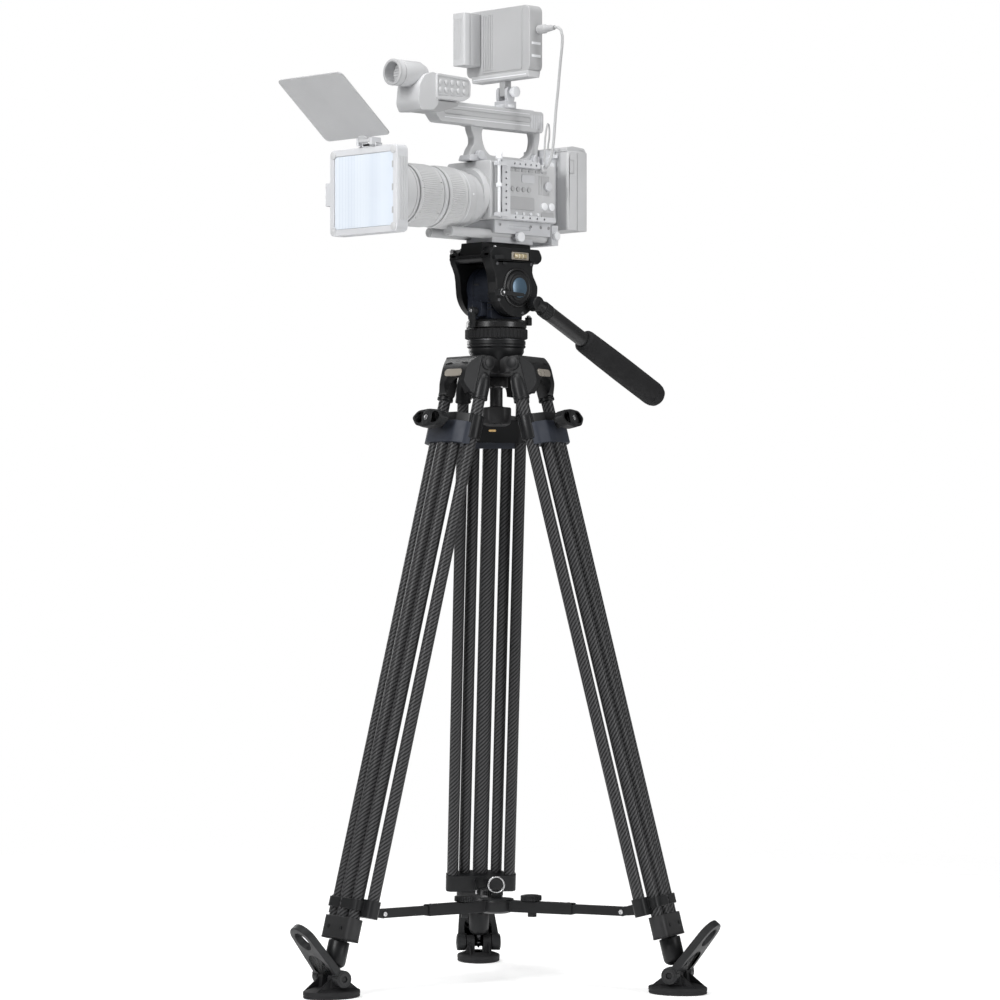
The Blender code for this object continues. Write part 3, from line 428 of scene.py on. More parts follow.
def add_materials():
    dull = {"Specular_IOR_Level": 0.3}
    grained("casting", (0.007, 0.0074, 0.0082), (0.014, 0.0144, 0.0153), 0.38, 2200.0, 0.00006, 0.15, **dull)
    grained("casting_grey", (0.022, 0.022, 0.023), (0.031, 0.031, 0.032), 0.46, 2200.0, 0.00006, 0.25, **dull)
    grained("casting_blue", (0.024, 0.028, 0.039), (0.033, 0.038, 0.051), 0.5, 1800.0, 0.00008, 0.1, **dull)
    grained("drum_paint", (0.012, 0.015, 0.024), (0.018, 0.022, 0.034), 0.42, 1800.0, 0.00006, 0.2, **dull)
    grained("plastic", (0.01, 0.0105, 0.0115), (0.015, 0.0155, 0.0165), 0.5, 1500.0, 0.00009, **dull)
    grained("rubber", (0.009, 0.009, 0.01), (0.014, 0.014, 0.015), 0.72, 900.0, 0.00016, **dull)
    grained("foam", (0.009, 0.009, 0.01), (0.014, 0.014, 0.015), 0.85, 1400.0, 0.0003, **dull)
    grained("band", (0.026, 0.026, 0.027), (0.036, 0.036, 0.037), 0.3, 2600.0, 0.00003, 0.55)
    grained("dial", (0.05, 0.092, 0.138), (0.098, 0.156, 0.215), 0.3, 700.0, 0.0001, 0.35)
    grained("champagne", (0.46, 0.42, 0.36), (0.6, 0.55, 0.48), 0.3, 1500.0, 0.00004, 0.6)
    grained("gold", (0.66, 0.43, 0.18), (0.8, 0.56, 0.26), 0.3, 1500.0, 0.00003, 0.8)
    grained("amber", (0.38, 0.31, 0.18), (0.54, 0.45, 0.29), 0.14, 300.0, 0.00002, Coat_Weight=0.6)
    grained("vial_line", (0.85, 0.8, 0.62), (0.95, 0.92, 0.8), 0.2, 900.0, 0.00002)
    grained("rig_grey", (0.54, 0.545, 0.553), (0.59, 0.595, 0.605), 0.5, 1600.0, 0.00008)
    grained("rig_dark", (0.42, 0.423, 0.43), (0.46, 0.463, 0.47), 0.52, 1600.0, 0.00008)
    grained("rig_light", (0.6, 0.608, 0.628), (0.655, 0.663, 0.683), 0.42, 1800.0, 0.00006)
    grained("rig_white", (0.8, 0.81, 0.83), (0.87, 0.88, 0.9), 0.3, 1800.0, 0.00003)
    grained("rig_rubber", (0.56, 0.564, 0.57), (0.61, 0.614, 0.62), 0.66, 1000.0, 0.00014)
    grained("cable", (0.44, 0.444, 0.45), (0.5, 0.504, 0.51), 0.6, 1300.0, 0.0001)
    grained("screen", (0.1, 0.105, 0.115), (0.12, 0.125, 0.135), 0.12, 500.0, 0.00001, Coat_Weight=0.5)
    brushed("steel", (0.7, 0.7, 0.71), 0.26, (1.0, 1.0, 12.0))
    brushed("dark_steel", (0.2, 0.2, 0.21), 0.34, (1.0, 1.0, 12.0))
    carbon()
    glass()


# Stage


def add_stage():
    """A pale floor that fades into the white background, and soft studio lights."""
    mesh = bpy.data.meshes.new("floor")
    shell = bmesh.new()
    bmesh.ops.create_circle(shell, cap_ends=True, segments=96, radius=6.0)
    shell.to_mesh(mesh)
    shell.free()
    floor = bpy.data.objects.new("floor", mesh)
    floor.location = AXIS + Vector((0, 0, -0.0002))
    bpy.context.scene.collection.objects.link(floor)
    nodes = Nodes("floor", (0.9, 0.9, 0.9), 0.7)
    radius = nodes.add("ShaderNodeVectorMath", operation="LENGTH")
    nodes.link(nodes.place, radius.inputs[0])
    fade = nodes.spread(radius.outputs["Value"], 1.0, 0.0, 0.7, 2.6)
    nodes.link(fade, nodes.shader.inputs["Alpha"])
    nodes.bump(nodes.noise(40.0, 2.0), 0.0002)
    nodes.shader.inputs["Emission Color"].default_value = (1, 1, 1, 1)
    nodes.shader.inputs["Emission Strength"].default_value = 0.5
    mesh.materials.append(MATERIALS["floor"])

    world = bpy.data.worlds.new("studio")
    world.use_nodes = True
    bpy.context.scene.world = world
    tree = world.node_tree
    background = tree.nodes["Background"]
    path = tree.nodes.new("ShaderNodeLightPath")
    level = tree.nodes.new("ShaderNodeMapRange")
    tree.links.new(path.outputs["Is Camera Ray"], level.inputs["Value"])
    level.inputs["To Min"].default_value = 0.2
    level.inputs["To Max"].default_value = 1.0
    tree.links.new(level.outputs["Result"], background.inputs["Strength"])
    background.inputs["Color"].default_value = (1.0, 1.0, 1.0, 1.0)

    target = AXIS + Vector((0, 0, 0.75))
    lights = (
        ("key", TO_CAMERA * 2.0 - TO_RIGHT * 1.6, 2.0, 0.45, 1.6, 54),
        ("fill", TO_CAMERA * 1.6 + TO_RIGHT * 2.4, 1.4, 0.6, 2.0, 35),
        ("top", TO_CAMERA * 0.6, 3.4, 1.8, 1.8, 42),
        ("back", TO_CAMERA * -2.2 - TO_RIGHT * 1.4, 1.6, 0.9, 2.0, 30),
    )
    for name, offset, height, width, length, power in lights:
        data = bpy.data.lights.new(name, "AREA")
        data.shape = "RECTANGLE"
        data.size = width
        data.size_y = length
        data.energy = power
        light = bpy.data.objects.new(name, data)
        light.location = AXIS + offset + Vector((0, 0, height))
        light.rotation_euler = (target - light.location).to_track_quat("-Z", "Y").to_euler()
        bpy.context.scene.collection.objects.link(light)
    bpy.context.scene.view_settings.view_transform = "Standard"


# Cables

MONITOR_CABLE = [
    (0.1085, 0.023, 1.514), (0.115, 0.0232, 1.5138), (0.121, 0.0245, 1.509), (0.1225, 0.0262, 1.499),
    (0.119, 0.029, 1.483), (0.112, 0.033, 1.464), (0.104, 0.038, 1.442), (0.096, 0.043, 1.418),
    (0.088, 0.047, 1.392), (0.082, 0.05, 1.365), (0.077, 0.052, 1.338), (0.0715, 0.053, 1.317),
    (0.065, 0.053, 1.303), (0.0585, 0.053, 1.2982),
]
MONITOR_CABLE_RADIUS = 0.00225
LOOP_CABLE = [
    (0.03, 0.078, 1.3056), (0.03, 0.0782, 1.318), (0.0298, 0.079, 1.335), (0.0294, 0.081, 1.352),
    (0.0285, 0.0845, 1.366), (0.0265, 0.089, 1.374), (0.024, 0.094, 1.373), (0.0215, 0.098, 1.364),
    (0.0185, 0.1005, 1.352), (0.0155, 0.1015, 1.343), (0.014, 0.102, 1.3335),
]
LOOP_CABLE_RADIUS = 0.0015


def smooth_route(points, step):
    """Points on a Catmull-Rom curve through a route, about a step apart."""
    route = [Vector(p) for p in points]
    route = [2 * route[0] - route[1]] + route + [2 * route[-1] - route[-2]]
    found = []
    for i in range(1, len(route) - 2):
        p0, p1, p2, p3 = route[i - 1 : i + 3]
        count = max(1, round((p2 - p1).length / step))
        for j in range(count):
            t = j / count
            found.append(0.5 * (2 * p1 + (p2 - p0) * t + (2 * p0 - 5 * p1 + 4 * p2 - p3) * t**2
                                + (3 * p1 - p0 - 3 * p2 + p3) * t**3))
    found.append(route[-2])
    return [AXIS + p for p in found]


def monitor_cable():
    """A tube along its route: it leaves the monitor's plug, hangs, and ends in the body's socket."""
    points = smooth_route(MONITOR_CABLE, 0.0085)
    sides = 16
    rings = []
    across = Vector((0, 1, 0))
    for i, point in enumerate(points):
        direction = (points[min(i + 1, len(points) - 1)] - points[max(i - 1, 0)]).normalized()
        across = (across - direction * across.dot(direction)).normalized()
        other = direction.cross(across)
        angles = [2 * math.pi * k / sides for k in range(sides)]
        rings.append([
            point + (across * math.cos(t) + other * math.sin(t)) * MONITOR_CABLE_RADIUS for t in angles
        ])
    item = bpy.data.objects.new("monitor_lead", mesh_of("monitor_lead", [loft(rings)], Matrix()))
    bpy.context.scene.collection.objects.link(item)
    item.data.shade_smooth()
    item.data.materials.append(MATERIALS["cable"])
    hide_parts("monitor_cable")
    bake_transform(item)


def loop_cable():
    points = smooth_route(LOOP_CABLE, 0.006)
    curve = bpy.data.curves.new("body_lead", "CURVE")
    curve.dimensions = "3D"
    curve.bevel_depth = LOOP_CABLE_RADIUS
    curve.bevel_resolution = 4
    curve.use_fill_caps = True
    spline = curve.splines.new("POLY")
    spline.points.add(len(points) - 1)
    for target, point in zip(spline.points, points):
        target.co = (*point, 1.0)
    item = bpy.data.objects.new("body_lead", curve)
    bpy.context.scene.collection.objects.link(item)
    place(item, "cable", "camera", ["loop_cable"])


# Legs, in each leg's own frame: X outward, square to the leg, Y along its hinge, Z up the leg

TUBE_RADIUS = 0.0094
UPPER_TUBE_SIDE = 0.0474
MIDDLE_TUBE_SIDE = 0.0266
STAGE_OFFSET = 0.0148
LOWER_TUBE_RADIUS = 0.0128
SLIDE_GAP = 0.0006
KNOB_DROP = 0.104
COLLAR = (0.086, 0.135)
BRACKET = (0.862, 0.89)
CLAMP = (0.8945, 0.93)
FITTING_RADIUS = 0.0166


def leg_frame(name):
    """From the hinge, taken from the fold's own axis and the way the stages slide."""
    fold = JOINTS["leg_fold_" + name]
    up = -Vector(JOINTS["mid_slide_" + name]["axis"]).normalized()
    across = Vector(fold["axis"]).normalized()
    outward = across.cross(up)
    turn = Matrix((outward, across, up)).transposed().to_4x4()
    return Matrix.Translation(Vector(fold["pos_m"]) - AXIS) @ turn


def upright_frame(joint):
    """X outward and Z straight up, from a joint whose axis is a leg's hinge direction."""
    across = Vector(JOINTS[joint]["axis"]).normalized()
    up = Vector((0, 0, 1))
    turn = Matrix((across.cross(up), across, up)).transposed().to_4x4()
    return Matrix.Translation(Vector(JOINTS[joint]["pos_m"]) - AXIS) @ turn


def shoulder(name, matrix):
    body = "leg_" + name
    side_view = rounded([
        (-0.008, -0.054), (0.014, -0.054), (0.0262, -0.038), (0.0268, -0.014),
        (0.0235, -0.0035), (0.0165, 0.006), (0.01, 0.0108), (-0.008, 0.0108),
    ], 0.005)
    shapes = [prism(side_view, "y", -0.0505, 0.0505)]
    cuts = [
        rod(0.0128, "y", -0.0359, 0.0359),
        block((-0.02, 0.0), (-0.0362, 0.0362), (-0.03, 0.02)),
        block((-0.02, 0.0132), (-0.0338, 0.0338), (-0.07, -0.0005)),
        rod(0.0245, "x", -0.001, 0.04, (0, 0, -0.05)),
        block((-0.001, 0.04), (-0.0245, 0.0245), (-0.07, -0.0499)),
    ]
    sleeve = [
        (0.012, -0.06), (0.0128, -0.0592), (0.0128, -0.056), (0.0123, -0.0555), (0.0123, -0.04),
        (0.011, -0.028), (0.0085, -0.02), (0.004, -0.016),
    ]
    sleeves = []
    for side in (-1, 1):
        sleeves.append(turned(sleeve, centre=(0, side * UPPER_TUBE_SIDE, 0)))
        sleeves.append(turned([(0.0118, side * 0.0487), (0.0118, side * 0.052), (0.011, side * 0.053)], "y"))
        corner = [
            (0.04, side * 0.02), (0.04, side * 0.07),
            (0.0125, side * 0.07), (0.0125, side * 0.048),
        ]
        cuts.append(prism(corner, "z", -0.07, 0.03))
        cuts.append(rod(0.005, "y", *span(side, 0.03, 0.0485)))
    piece(f"shoulder_shell_{name}", "casting", body, shapes, cuts, matrix, 0.0006,
          [f"shoulder_{name}"])
    piece(f"shoulder_sleeves_{name}", "casting", body, sleeves, (), matrix, 0.0004)
    caps, rims = [], []
    for side in (-1, 1):
        rims.append(turned([(0.0104, side * 0.052), (0.0104, side * 0.0536), (0.0096, side * 0.054)], "y"))
        caps.append(turned([(0.0084, side * 0.052), (0.0084, side * 0.0543), (0.0074, side * 0.0548)], "y"))
    piece(f"hinge_rings_{name}", "casting_grey", body, rims, (), matrix, 0.0002)
    piece(f"hinge_caps_{name}", "casting", body, caps, (), matrix, 0.0002)
    lean = Matrix.Translation((0.0262, 0, -0.0215))
    plate = prism(capsule((0, 0), 0.046, 0.0115), "x", -0.002, 0.0016)
    piece(f"shoulder_plate_{name}", "champagne", body, [plate], (), matrix @ lean, 0.0004)
    facets = [prism(rounded([(side * 0.029, -0.007), (side * 0.015, -0.005), (side * 0.015, -0.0032),
                             (side * 0.029, -0.005)], 0.001), "x", 0.02, 0.0252) for side in (-1, 1)]
    piece(f"shoulder_ridges_{name}", "casting_grey", body, facets, (), matrix, 0.0003)


def upper_stage(name, matrix):
    body = "leg_" + name
    runs = [(0, side * UPPER_TUBE_SIDE, TUBE_RADIUS, -0.88, -0.0223) for side in (-1, 1)]
    tube(f"upper_tubes_{name}", body, matrix, runs, [f"upper_frame_{name}"])
    low, high = -BRACKET[1], -BRACKET[0]
    wrap = rounded(mirrored([(0.028, 0.03), (0.023, 0.04), (-0.01, 0.04)]), 0.004)
    inner = rounded(mirrored([(0.011, 0.0584), (-0.0112, 0.0584)]), 0.0095, 6)
    shapes = [prism(wrap, "z", -0.881, -0.865), prism(inner, "z", low, high)]
    cuts = [rod(LOWER_TUBE_RADIUS + SLIDE_GAP, "z", -0.9, -0.84, (STAGE_OFFSET, 0, 0))]
    for side in (-1, 1):
        cuts.append(rod(TUBE_RADIUS + SLIDE_GAP, "z", -0.9, -0.84,
                        (STAGE_OFFSET, side * MIDDLE_TUBE_SIDE, 0)))
    pivot = matrix.inverted() @ upright_frame("arm_" + name).translation
    ear = arc((pivot.x, pivot.z), 0.0062, 90, 270, 12)
    ear += [(-0.01, low + 0.001), (-0.01, high - 0.006)]
    shapes += [prism(ear, "y", *span(side, 0.0078, 0.0115)) for side in (-1, 1)]
    piece(f"leg_bracket_{name}", "casting", body, shapes, cuts, matrix, 0.0006)
    bolts = [rod(0.0036, "y", *span(side, 0.011, 0.0132), (pivot.x, 0, pivot.z)) for side in (-1, 1)]
    sockets = [
        prism(arc((pivot.x, pivot.z), 0.0018, 0, 300, 5), "y", *span(side, 0.012, 0.014))
        for side in (-1, 1)
    ]
    piece(f"arm_bolts_{name}", "steel", body, bolts, sockets, matrix, 0.0003)


def middle_stage(name, matrix):
    body = "mid_" + name
    runs = [(STAGE_OFFSET, side * MIDDLE_TUBE_SIDE, TUBE_RADIUS, -0.9, -0.11) for side in (-1, 1)]
    tube(f"middle_tubes_{name}", body, matrix, runs, [f"middle_frame_{name}"])
    top, bottom = -COLLAR[0], -COLLAR[1]
    outer = rounded(mirrored([(0.0285, 0.036), (0.017, 0.054), (0.003, 0.056), (-0.004, 0.04)]), 0.004)
    inner = rounded(mirrored([(0.026, 0.03), (0.014, 0.054), (-0.0085, 0.059), (-0.012, 0.056)]), 0.003)
    shapes = [prism(inner, "z", -0.123, top)]
    shapes.append(turned([(0.0088, 0.02), (0.0088, 0.033), (0.0075, 0.034), (0.0075, 0.0402)], "x",
                         (0, 0, -KNOB_DROP)))
    cuts = []
    for side in (-1, 1):
        guide = [(0.0126, -0.124), (0.0128, -0.123), (0.0128, top - 0.003), (0.012, top + 0.0005)]
        shapes.append(turned(guide, centre=(0, side * UPPER_TUBE_SIDE, 0)))
        cuts.append(rod(TUBE_RADIUS + SLIDE_GAP, "z", -0.15, -0.05, (0, side * UPPER_TUBE_SIDE, 0)))
    piece(f"collar_{name}", "casting", body, shapes, cuts, matrix, 0.0008)
    bore = [
        rod(TUBE_RADIUS + SLIDE_GAP, "z", -0.15, -0.05, (0, side * UPPER_TUBE_SIDE, 0)) for side in (-1, 1)
    ]
    piece(f"collar_shell_{name}", "casting_blue", body, [prism(outer, "z", bottom, -0.1)], bore,
          matrix, 0.0008)
    bar = prism(capsule((0, -0.103), 0.012, 0.0036), "x", -0.0124, -0.0105)
    piece(f"collar_bar_{name}", "gold", body, [bar], (), matrix, 0.0002)
    wrap = rounded(mirrored([(0.029, 0.0385), (0.0005, 0.0385)]), 0.0135, 8)
    lip = rounded(mirrored([(0.0294, 0.0389), (0.0001, 0.0389)]), 0.0139, 8)
    clamp = [prism(wrap, "z", -CLAMP[1], -CLAMP[0])]
    clamp += [prism(lip, "z", -CLAMP[1] + 0.0005, -CLAMP[1] + 0.0025)]
    hole = [rod(LOWER_TUBE_RADIUS + SLIDE_GAP, "z", -0.95, -0.88, (STAGE_OFFSET, 0, 0))]
    piece(f"stage_clamp_{name}", "casting_grey", body, clamp, hole, matrix, 0.0008)
    screws = [rod(0.0032, "x", 0.0285, 0.0303, (0, y, -0.912)) for y in (-0.018, 0.018)]
    piece(f"clamp_screws_{name}", "casting", body, screws, (), matrix, 0.0003)


def lower_stage(name, matrix):
    body = "low_" + name
    ankle = (matrix.inverted() @ (Vector(JOINTS["pad_tilt_" + name]["pos_m"]) - AXIS)).z
    top = -CLAMP[1] - 0.0018
    tube(f"lower_tube_shaft_{name}", body, matrix,
         [(STAGE_OFFSET, 0, LOWER_TUBE_RADIUS, top - 0.004, -0.119)],
         [f"lower_tube_{name}"])
    boot = [
        (0.0048, ankle + 0.0145), (0.009, ankle + 0.015), (0.0145, ankle + 0.019), (0.016, ankle + 0.0215),
        (FITTING_RADIUS, ankle + 0.025), (FITTING_RADIUS, top - 0.0012), (FITTING_RADIUS - 0.0008, top),
        (LOWER_TUBE_RADIUS + 0.0001, top + 0.0001),
    ]
    centre = (STAGE_OFFSET, 0, 0)
    piece(f"foot_fitting_{name}", "casting", body, [turned(boot, centre=centre)], (), matrix,
          0.0004)
    ball = [(0.0048, ankle + 0.015), (0.0046, ankle + 0.006)]
    ball += [(0.0052 * math.cos(math.radians(a)),
              ankle + 0.0052 * math.sin(math.radians(a))) for a in (50, 20, -10)]
    ball += [(0.0044, ankle - 0.003), (0.001, ankle - 0.0095)]
    piece(f"ankle_ball_{name}", "dark_steel", body, [turned(ball, centre=centre, sides=32)], (),
          matrix, 0)


def lock_knob(name, matrix):
    body = "knob_" + name
    lift = matrix @ Matrix.Translation((0, 0, -KNOB_DROP))
    outline = rounded([
        (-0.043, 0.001), (-0.029, -0.0115), (0.0, -0.015), (0.029, -0.0115), (0.043, 0.001),
        (0.029, 0.0125), (0.0, 0.015), (-0.029, 0.0125),
    ], 0.006, 5)
    shapes = [prism(outline, "x", 0.044, 0.058), rod(0.012, "x", 0.0404, 0.06)]
    pockets = []
    for side in (-1, 1):
        pocket = rounded([
            (side * 0.0135, -0.0075), (side * 0.027, -0.006), (side * 0.034, 0.0005),
            (side * 0.027, 0.008), (side * 0.0135, 0.009),
        ], 0.003)
        pockets.append(prism(pocket, "x", 0.04, 0.062))
    piece(f"lock_wing_{name}", "plastic", body, shapes, pockets, lift, 0.0012,
          [f"lock_knob_{name}"])
    webs = [prism([(side * 0.012, -0.0085), (side * 0.035, -0.008), (side * 0.035, 0.0085),
                   (side * 0.012, 0.0095)], "x", 0.045, 0.0475) for side in (-1, 1)]
    piece(f"lock_web_{name}", "plastic", body, webs, (), lift, 0.0004)
    screw = [turned([(0.0042, 0.059), (0.0042, 0.0606), (0.003, 0.061)], "x")]
    slot_cut = [block((0.0604, 0.062), (-0.003, 0.003), (-0.0005, 0.0005))]
    piece(f"knob_screw_{name}", "steel", body, screw, slot_cut, lift, 0.0002)


def ankle_height(name):
    return JOINTS["pad_tilt_" + name]["pos_m"][2]


def foot_pad(name, matrix):
    body = "pad_" + name
    floor = -ankle_height(name)

    def oval(scale, height):
        return [
            (0.0475 * scale * math.cos(t), 0.0355 * scale * math.sin(t), height)
            for t in (2 * math.pi * i / 72 for i in range(72))
        ]

    levels = (
        (0.93, 0.0), (0.985, 0.0008), (1.0, 0.003), (0.985, 0.004), (0.985, 0.0048), (1.0, 0.0058),
        (1.0, 0.0095), (0.985, 0.0112), (0.9, 0.0124), (0.62, 0.016),
    )
    shapes = [loft([oval(scale, floor + height) for scale, height in levels])]
    for side in (-1, 1):
        outline = arc((0, 0), 0.0122, 0, 180, 16) + [(-0.015, floor + 0.01), (0.015, floor + 0.01)]
        shapes.append(prism(outline, "y", *span(side, 0.0072, 0.0206)))
        rib = [(-0.038, floor + 0.0118), (0.038, floor + 0.0118), (0.006, 0.006), (-0.006, 0.006)]
        shapes.append(prism(rib, "y", *span(side, 0.015, 0.018)))
    cuts = [block((-0.016, 0.016), (-0.0071, 0.0071), (floor + 0.0105, 0.03))]
    piece(f"pad_body_{name}", "rubber", body, shapes, cuts, matrix, 0.0006, [f"foot_pad_{name}"])
    pins = [rod(0.0042, "y", *span(side, 0.019, 0.0352)) for side in (-1, 1)]
    piece(f"pad_pin_{name}", "casting", body, pins, (), matrix, 0.0004)
    cleats = []
    for i in range(12):
        t = 2 * math.pi * i / 12
        spot = Matrix.Translation((0.033 * math.cos(t), 0.024 * math.sin(t),
                                   floor)) @ Matrix.Rotation(t, 4, "Z")
        cleats.append(turn_shape(block((-0.004, 0.004), (-0.0015, 0.0015), (0.0, 0.0008)), spot))
    piece(f"pad_cleats_{name}", "rubber", body, cleats, (), matrix, 0)


def foot_lever(name, matrix):
    body = "lever_" + name
    slope = math.radians(52)
    tip = arc((0.0775, 0), 0.0275, -75, 75, 24)
    outline = [(-0.006, -0.0362), (0.042, -0.0312)] + tip + [(0.042, 0.0312), (-0.006, 0.0362)]
    fork = [(-0.03, -0.0214), (0.027, -0.0214)] + arc((0.027, 0), 0.0214, -90, 90, 16) + [(-0.03, 0.0214)]
    shapes = [prism(outline, "z", -0.006, 0.006)]
    shapes += [rod(0.0135, "y", *span(side, 0.0215, 0.0365)) for side in (-1, 1)]
    cuts = [prism(fork, "z", -0.03, 0.03), prism(arc((0.078, 0), 0.0165, 0, 350, 35, 0.95), "z", -0.03, 0.03)]
    cuts.append(rod(0.0047, "y", -0.05, 0.05))
    tilted = matrix @ Matrix.Rotation(-slope, 4, "Y")
    piece(f"lever_loop_{name}", "plastic", body, shapes, cuts, tilted, 0.0018,
          [f"foot_lever_{name}"])
    discs = [turned([(0.0092, side * 0.0362), (0.0092, side * 0.037), (0.006, side * 0.037)], "y")
             for side in (-1, 1)]
    piece(f"lever_caps_{name}", "casting_grey", body, discs,
          [rod(0.005, "y", -0.05, 0.05)], tilted, 0.0002)
    webs = [block((0.012, 0.056), span(side, 0.0215, 0.024), (-0.0045, 0.0045)) for side in (-1, 1)]
    piece(f"lever_webs_{name}", "casting", body, webs, (), tilted, 0.0006)


def spreader_arm(name, matrix):
    body = "arm_" + name
    inner = -0.1
    bar = rounded([(inner, -0.0065), (-0.004, -0.0065), (-0.004, 0.0065), (inner, 0.0065)], 0.0005, 1)
    shapes = [prism(bar, "z", -0.007, 0.007), rod(0.0074, "y", -0.0074, 0.0074)]
    piece(f"spreader_bar_{name}", "casting", body, shapes, (), matrix, 0.0008,
          [f"spreader_arm_{name}"])
    # A lighter grey strip along the top of the bar: a painted highlight on its upper edge.
    top = [block((inner, -0.012), (-0.004, 0.004), (0.0066, 0.0073))]
    piece(f"spreader_strip_{name}", "casting_grey", body, top, (), matrix, 0.0002)


def spreader_hub():
    middle = JOINTS["arm_front"]["pos_m"][2]
    low, high = middle - 0.0088, middle + 0.0088
    body = "hub"
    plate = [(0.02, low - 0.003), (0.025, low - 0.001), (0.0285, low + 0.001), (0.029, low + 0.003),
             (0.029, high - 0.0012), (0.0278, high), (0.0278, high + 0.002), (0.015, high + 0.0024)]
    shapes = [turned(plate, sides=96)]
    cuts = []
    post = rounded([(-0.0085, high), (0.0085, high), (0.0085, high + 0.0095), (-0.0085, high + 0.0095)],
                   0.003)
    shapes.append(turn_shape(prism(post, "y", -0.0035, 0.0035), Matrix.Rotation(VIEW_AZIMUTH, 4, "Z")))
    wheels, caps, screws, paddles = [], [], [], []
    for name in LEGS:
        arm = Vector(JOINTS["arm_" + name]["pos_m"]) - AXIS
        turn = Matrix.Rotation(math.atan2(arm.y, arm.x), 4, "Z")
        shapes.append(turn_shape(block((0.0, 0.135), (-0.0084, 0.0084), (low, high)), turn))
        cuts.append(turn_shape(block((0.044, 0.145), (-0.0074, 0.0074), (middle - 0.0079, middle + 0.0079)),
                               turn))
        wheel = knurled(0.0168, 0.0012, 28, high + 0.0014, high + 0.0095, "z", (0.061, 0, 0))
        wheels.append(turn_shape(wheel, turn))
        caps.append(turn_shape(turned([(0.012, high + 0.009), (0.012, high + 0.0102),
                                       (0.0108, high + 0.0106)],
                                      "z", (0.061, 0, 0)), turn))
        caps.append(turn_shape(rod(0.006, "z", high - 0.001, high + 0.002, (0.061, 0, 0)), turn))
        caps.append(turn_shape(block((0.029, 0.135), (-0.005, 0.005), (high - 0.0004, high + 0.0005)), turn))
        paddle = rounded([(0.056, -0.0035), (0.066, -0.0035), (0.07, 0.0035), (0.056, 0.0035)], 0.002)
        paddles.append(turn_shape(prism(paddle, "z", low - 0.007, low + 0.001), turn))
        for reach in (0.112, 0.126):
            screws.append(turn_shape(rod(0.0028, "z", high - 0.001, high + 0.0012, (reach, 0, 0)), turn))
    piece("hub_body", "casting", body, shapes, cuts, bevel=0.0006, replaces=["spreader_hub"])
    piece("hub_wheels", "plastic", body, wheels, bevel=0.0003)
    piece("hub_wheel_caps", "casting_grey", body, caps, bevel=0.0002)
    piece("hub_paddles", "plastic", body, paddles, bevel=0.0008)
    piece("hub_screws", "steel", body, screws, bevel=0.0003)
    # A thin lighter ring round the upper edge of the top plate: a painted highlight on that edge.
    rims = [turned([(0.0281, high - 0.0012), (0.0292, high - 0.0012), (0.0286, high - 0.0002),
                    (0.0281, high - 0.0001)],
                   sides=96)]
    piece("hub_painted_edge_highlight", "band", body, rims, bevel=0)
    ring = JOINTS["ring_swing"]
    lift = Matrix.Translation(Vector(ring["pos_m"]) - AXIS) @ Matrix.Rotation(VIEW_AZIMUTH, 4, "Z")
    major, minor, steps, sides = 0.0125, 0.0013, 64, 14
    rings = []
    for i in range(steps):
        t = 2 * math.pi * i / steps
        out = Vector((math.cos(t), 0, math.sin(t)))
        angles = [2 * math.pi * j / sides for j in range(sides)]
        rings.append([
            out * (major + minor * math.cos(a)) + Vector((0, minor * math.sin(a), major)) for a in angles
        ])
    points, faces = loft(rings + rings[:1], False)
    faces = [tuple(i % (steps * sides) for i in face) for face in faces]
    piece("ring_wire", "steel", "ring", [(points[: steps * sides], faces)], (), lift, 0,
          ["pull_ring"])


# Crown and tie-down


def crown():
    rim = 1.0225
    outside = [
        (0.0165, 0.964), (0.026, 0.968), (0.035, 0.9735), (0.0385, 0.985), (0.0415, 1.0),
        (0.044, 1.0045), (0.044, 1.0105), (0.0467, 1.0125), (0.0467, 1.015), (0.0458, 1.0156),
        (0.0458, 1.0166), (0.0467, 1.0172), (0.0467, rim), (0.038, rim), (0.0165, 0.99),
    ]
    piece("crown_bowl", "casting", "crown", [turned(outside, sides=96)], bevel=0.0004,
          replaces=["crown"])
    lugs, pins = [], []
    for name in LEGS:
        fold = JOINTS["leg_fold_" + name]
        place_at = Vector(fold["pos_m"]) - AXIS
        turn = Matrix.Translation(place_at) @ Matrix.Rotation(math.atan2(place_at.y, place_at.x), 4, "Z")
        lug = [(-0.03, -0.016)] + arc((0, 0), 0.0115, -90, 90, 16) + [(-0.02, 0.0115), (-0.03, 0.006)]
        lugs.append(turn_shape(prism(lug, "y", -0.0355, 0.0355), turn))
        pins.append(turn_shape(rod(0.0045, "y", -0.048, 0.048), turn))
    piece("crown_lugs", "casting_grey", "crown", lugs, bevel=0.0012)
    piece("crown_pins", "dark_steel", "crown", pins, bevel=0.0003)
    seat = [
        (0.03, rim + 0.0003), (0.0452, rim + 0.0003), (0.0455, rim + 0.001), (0.0452, 1.0246),
        (0.03, 1.0249), (0.03, 1.0425),
    ]
    stud = [(0.0052, 0.932), (0.0052, 0.9655), (0.015, 0.966), (0.015, 0.989)]
    piece("ball_seat", "dark_steel", "crown", [turned(seat), turned(stud)], bevel=0.0002,
          replaces=["half_ball"])


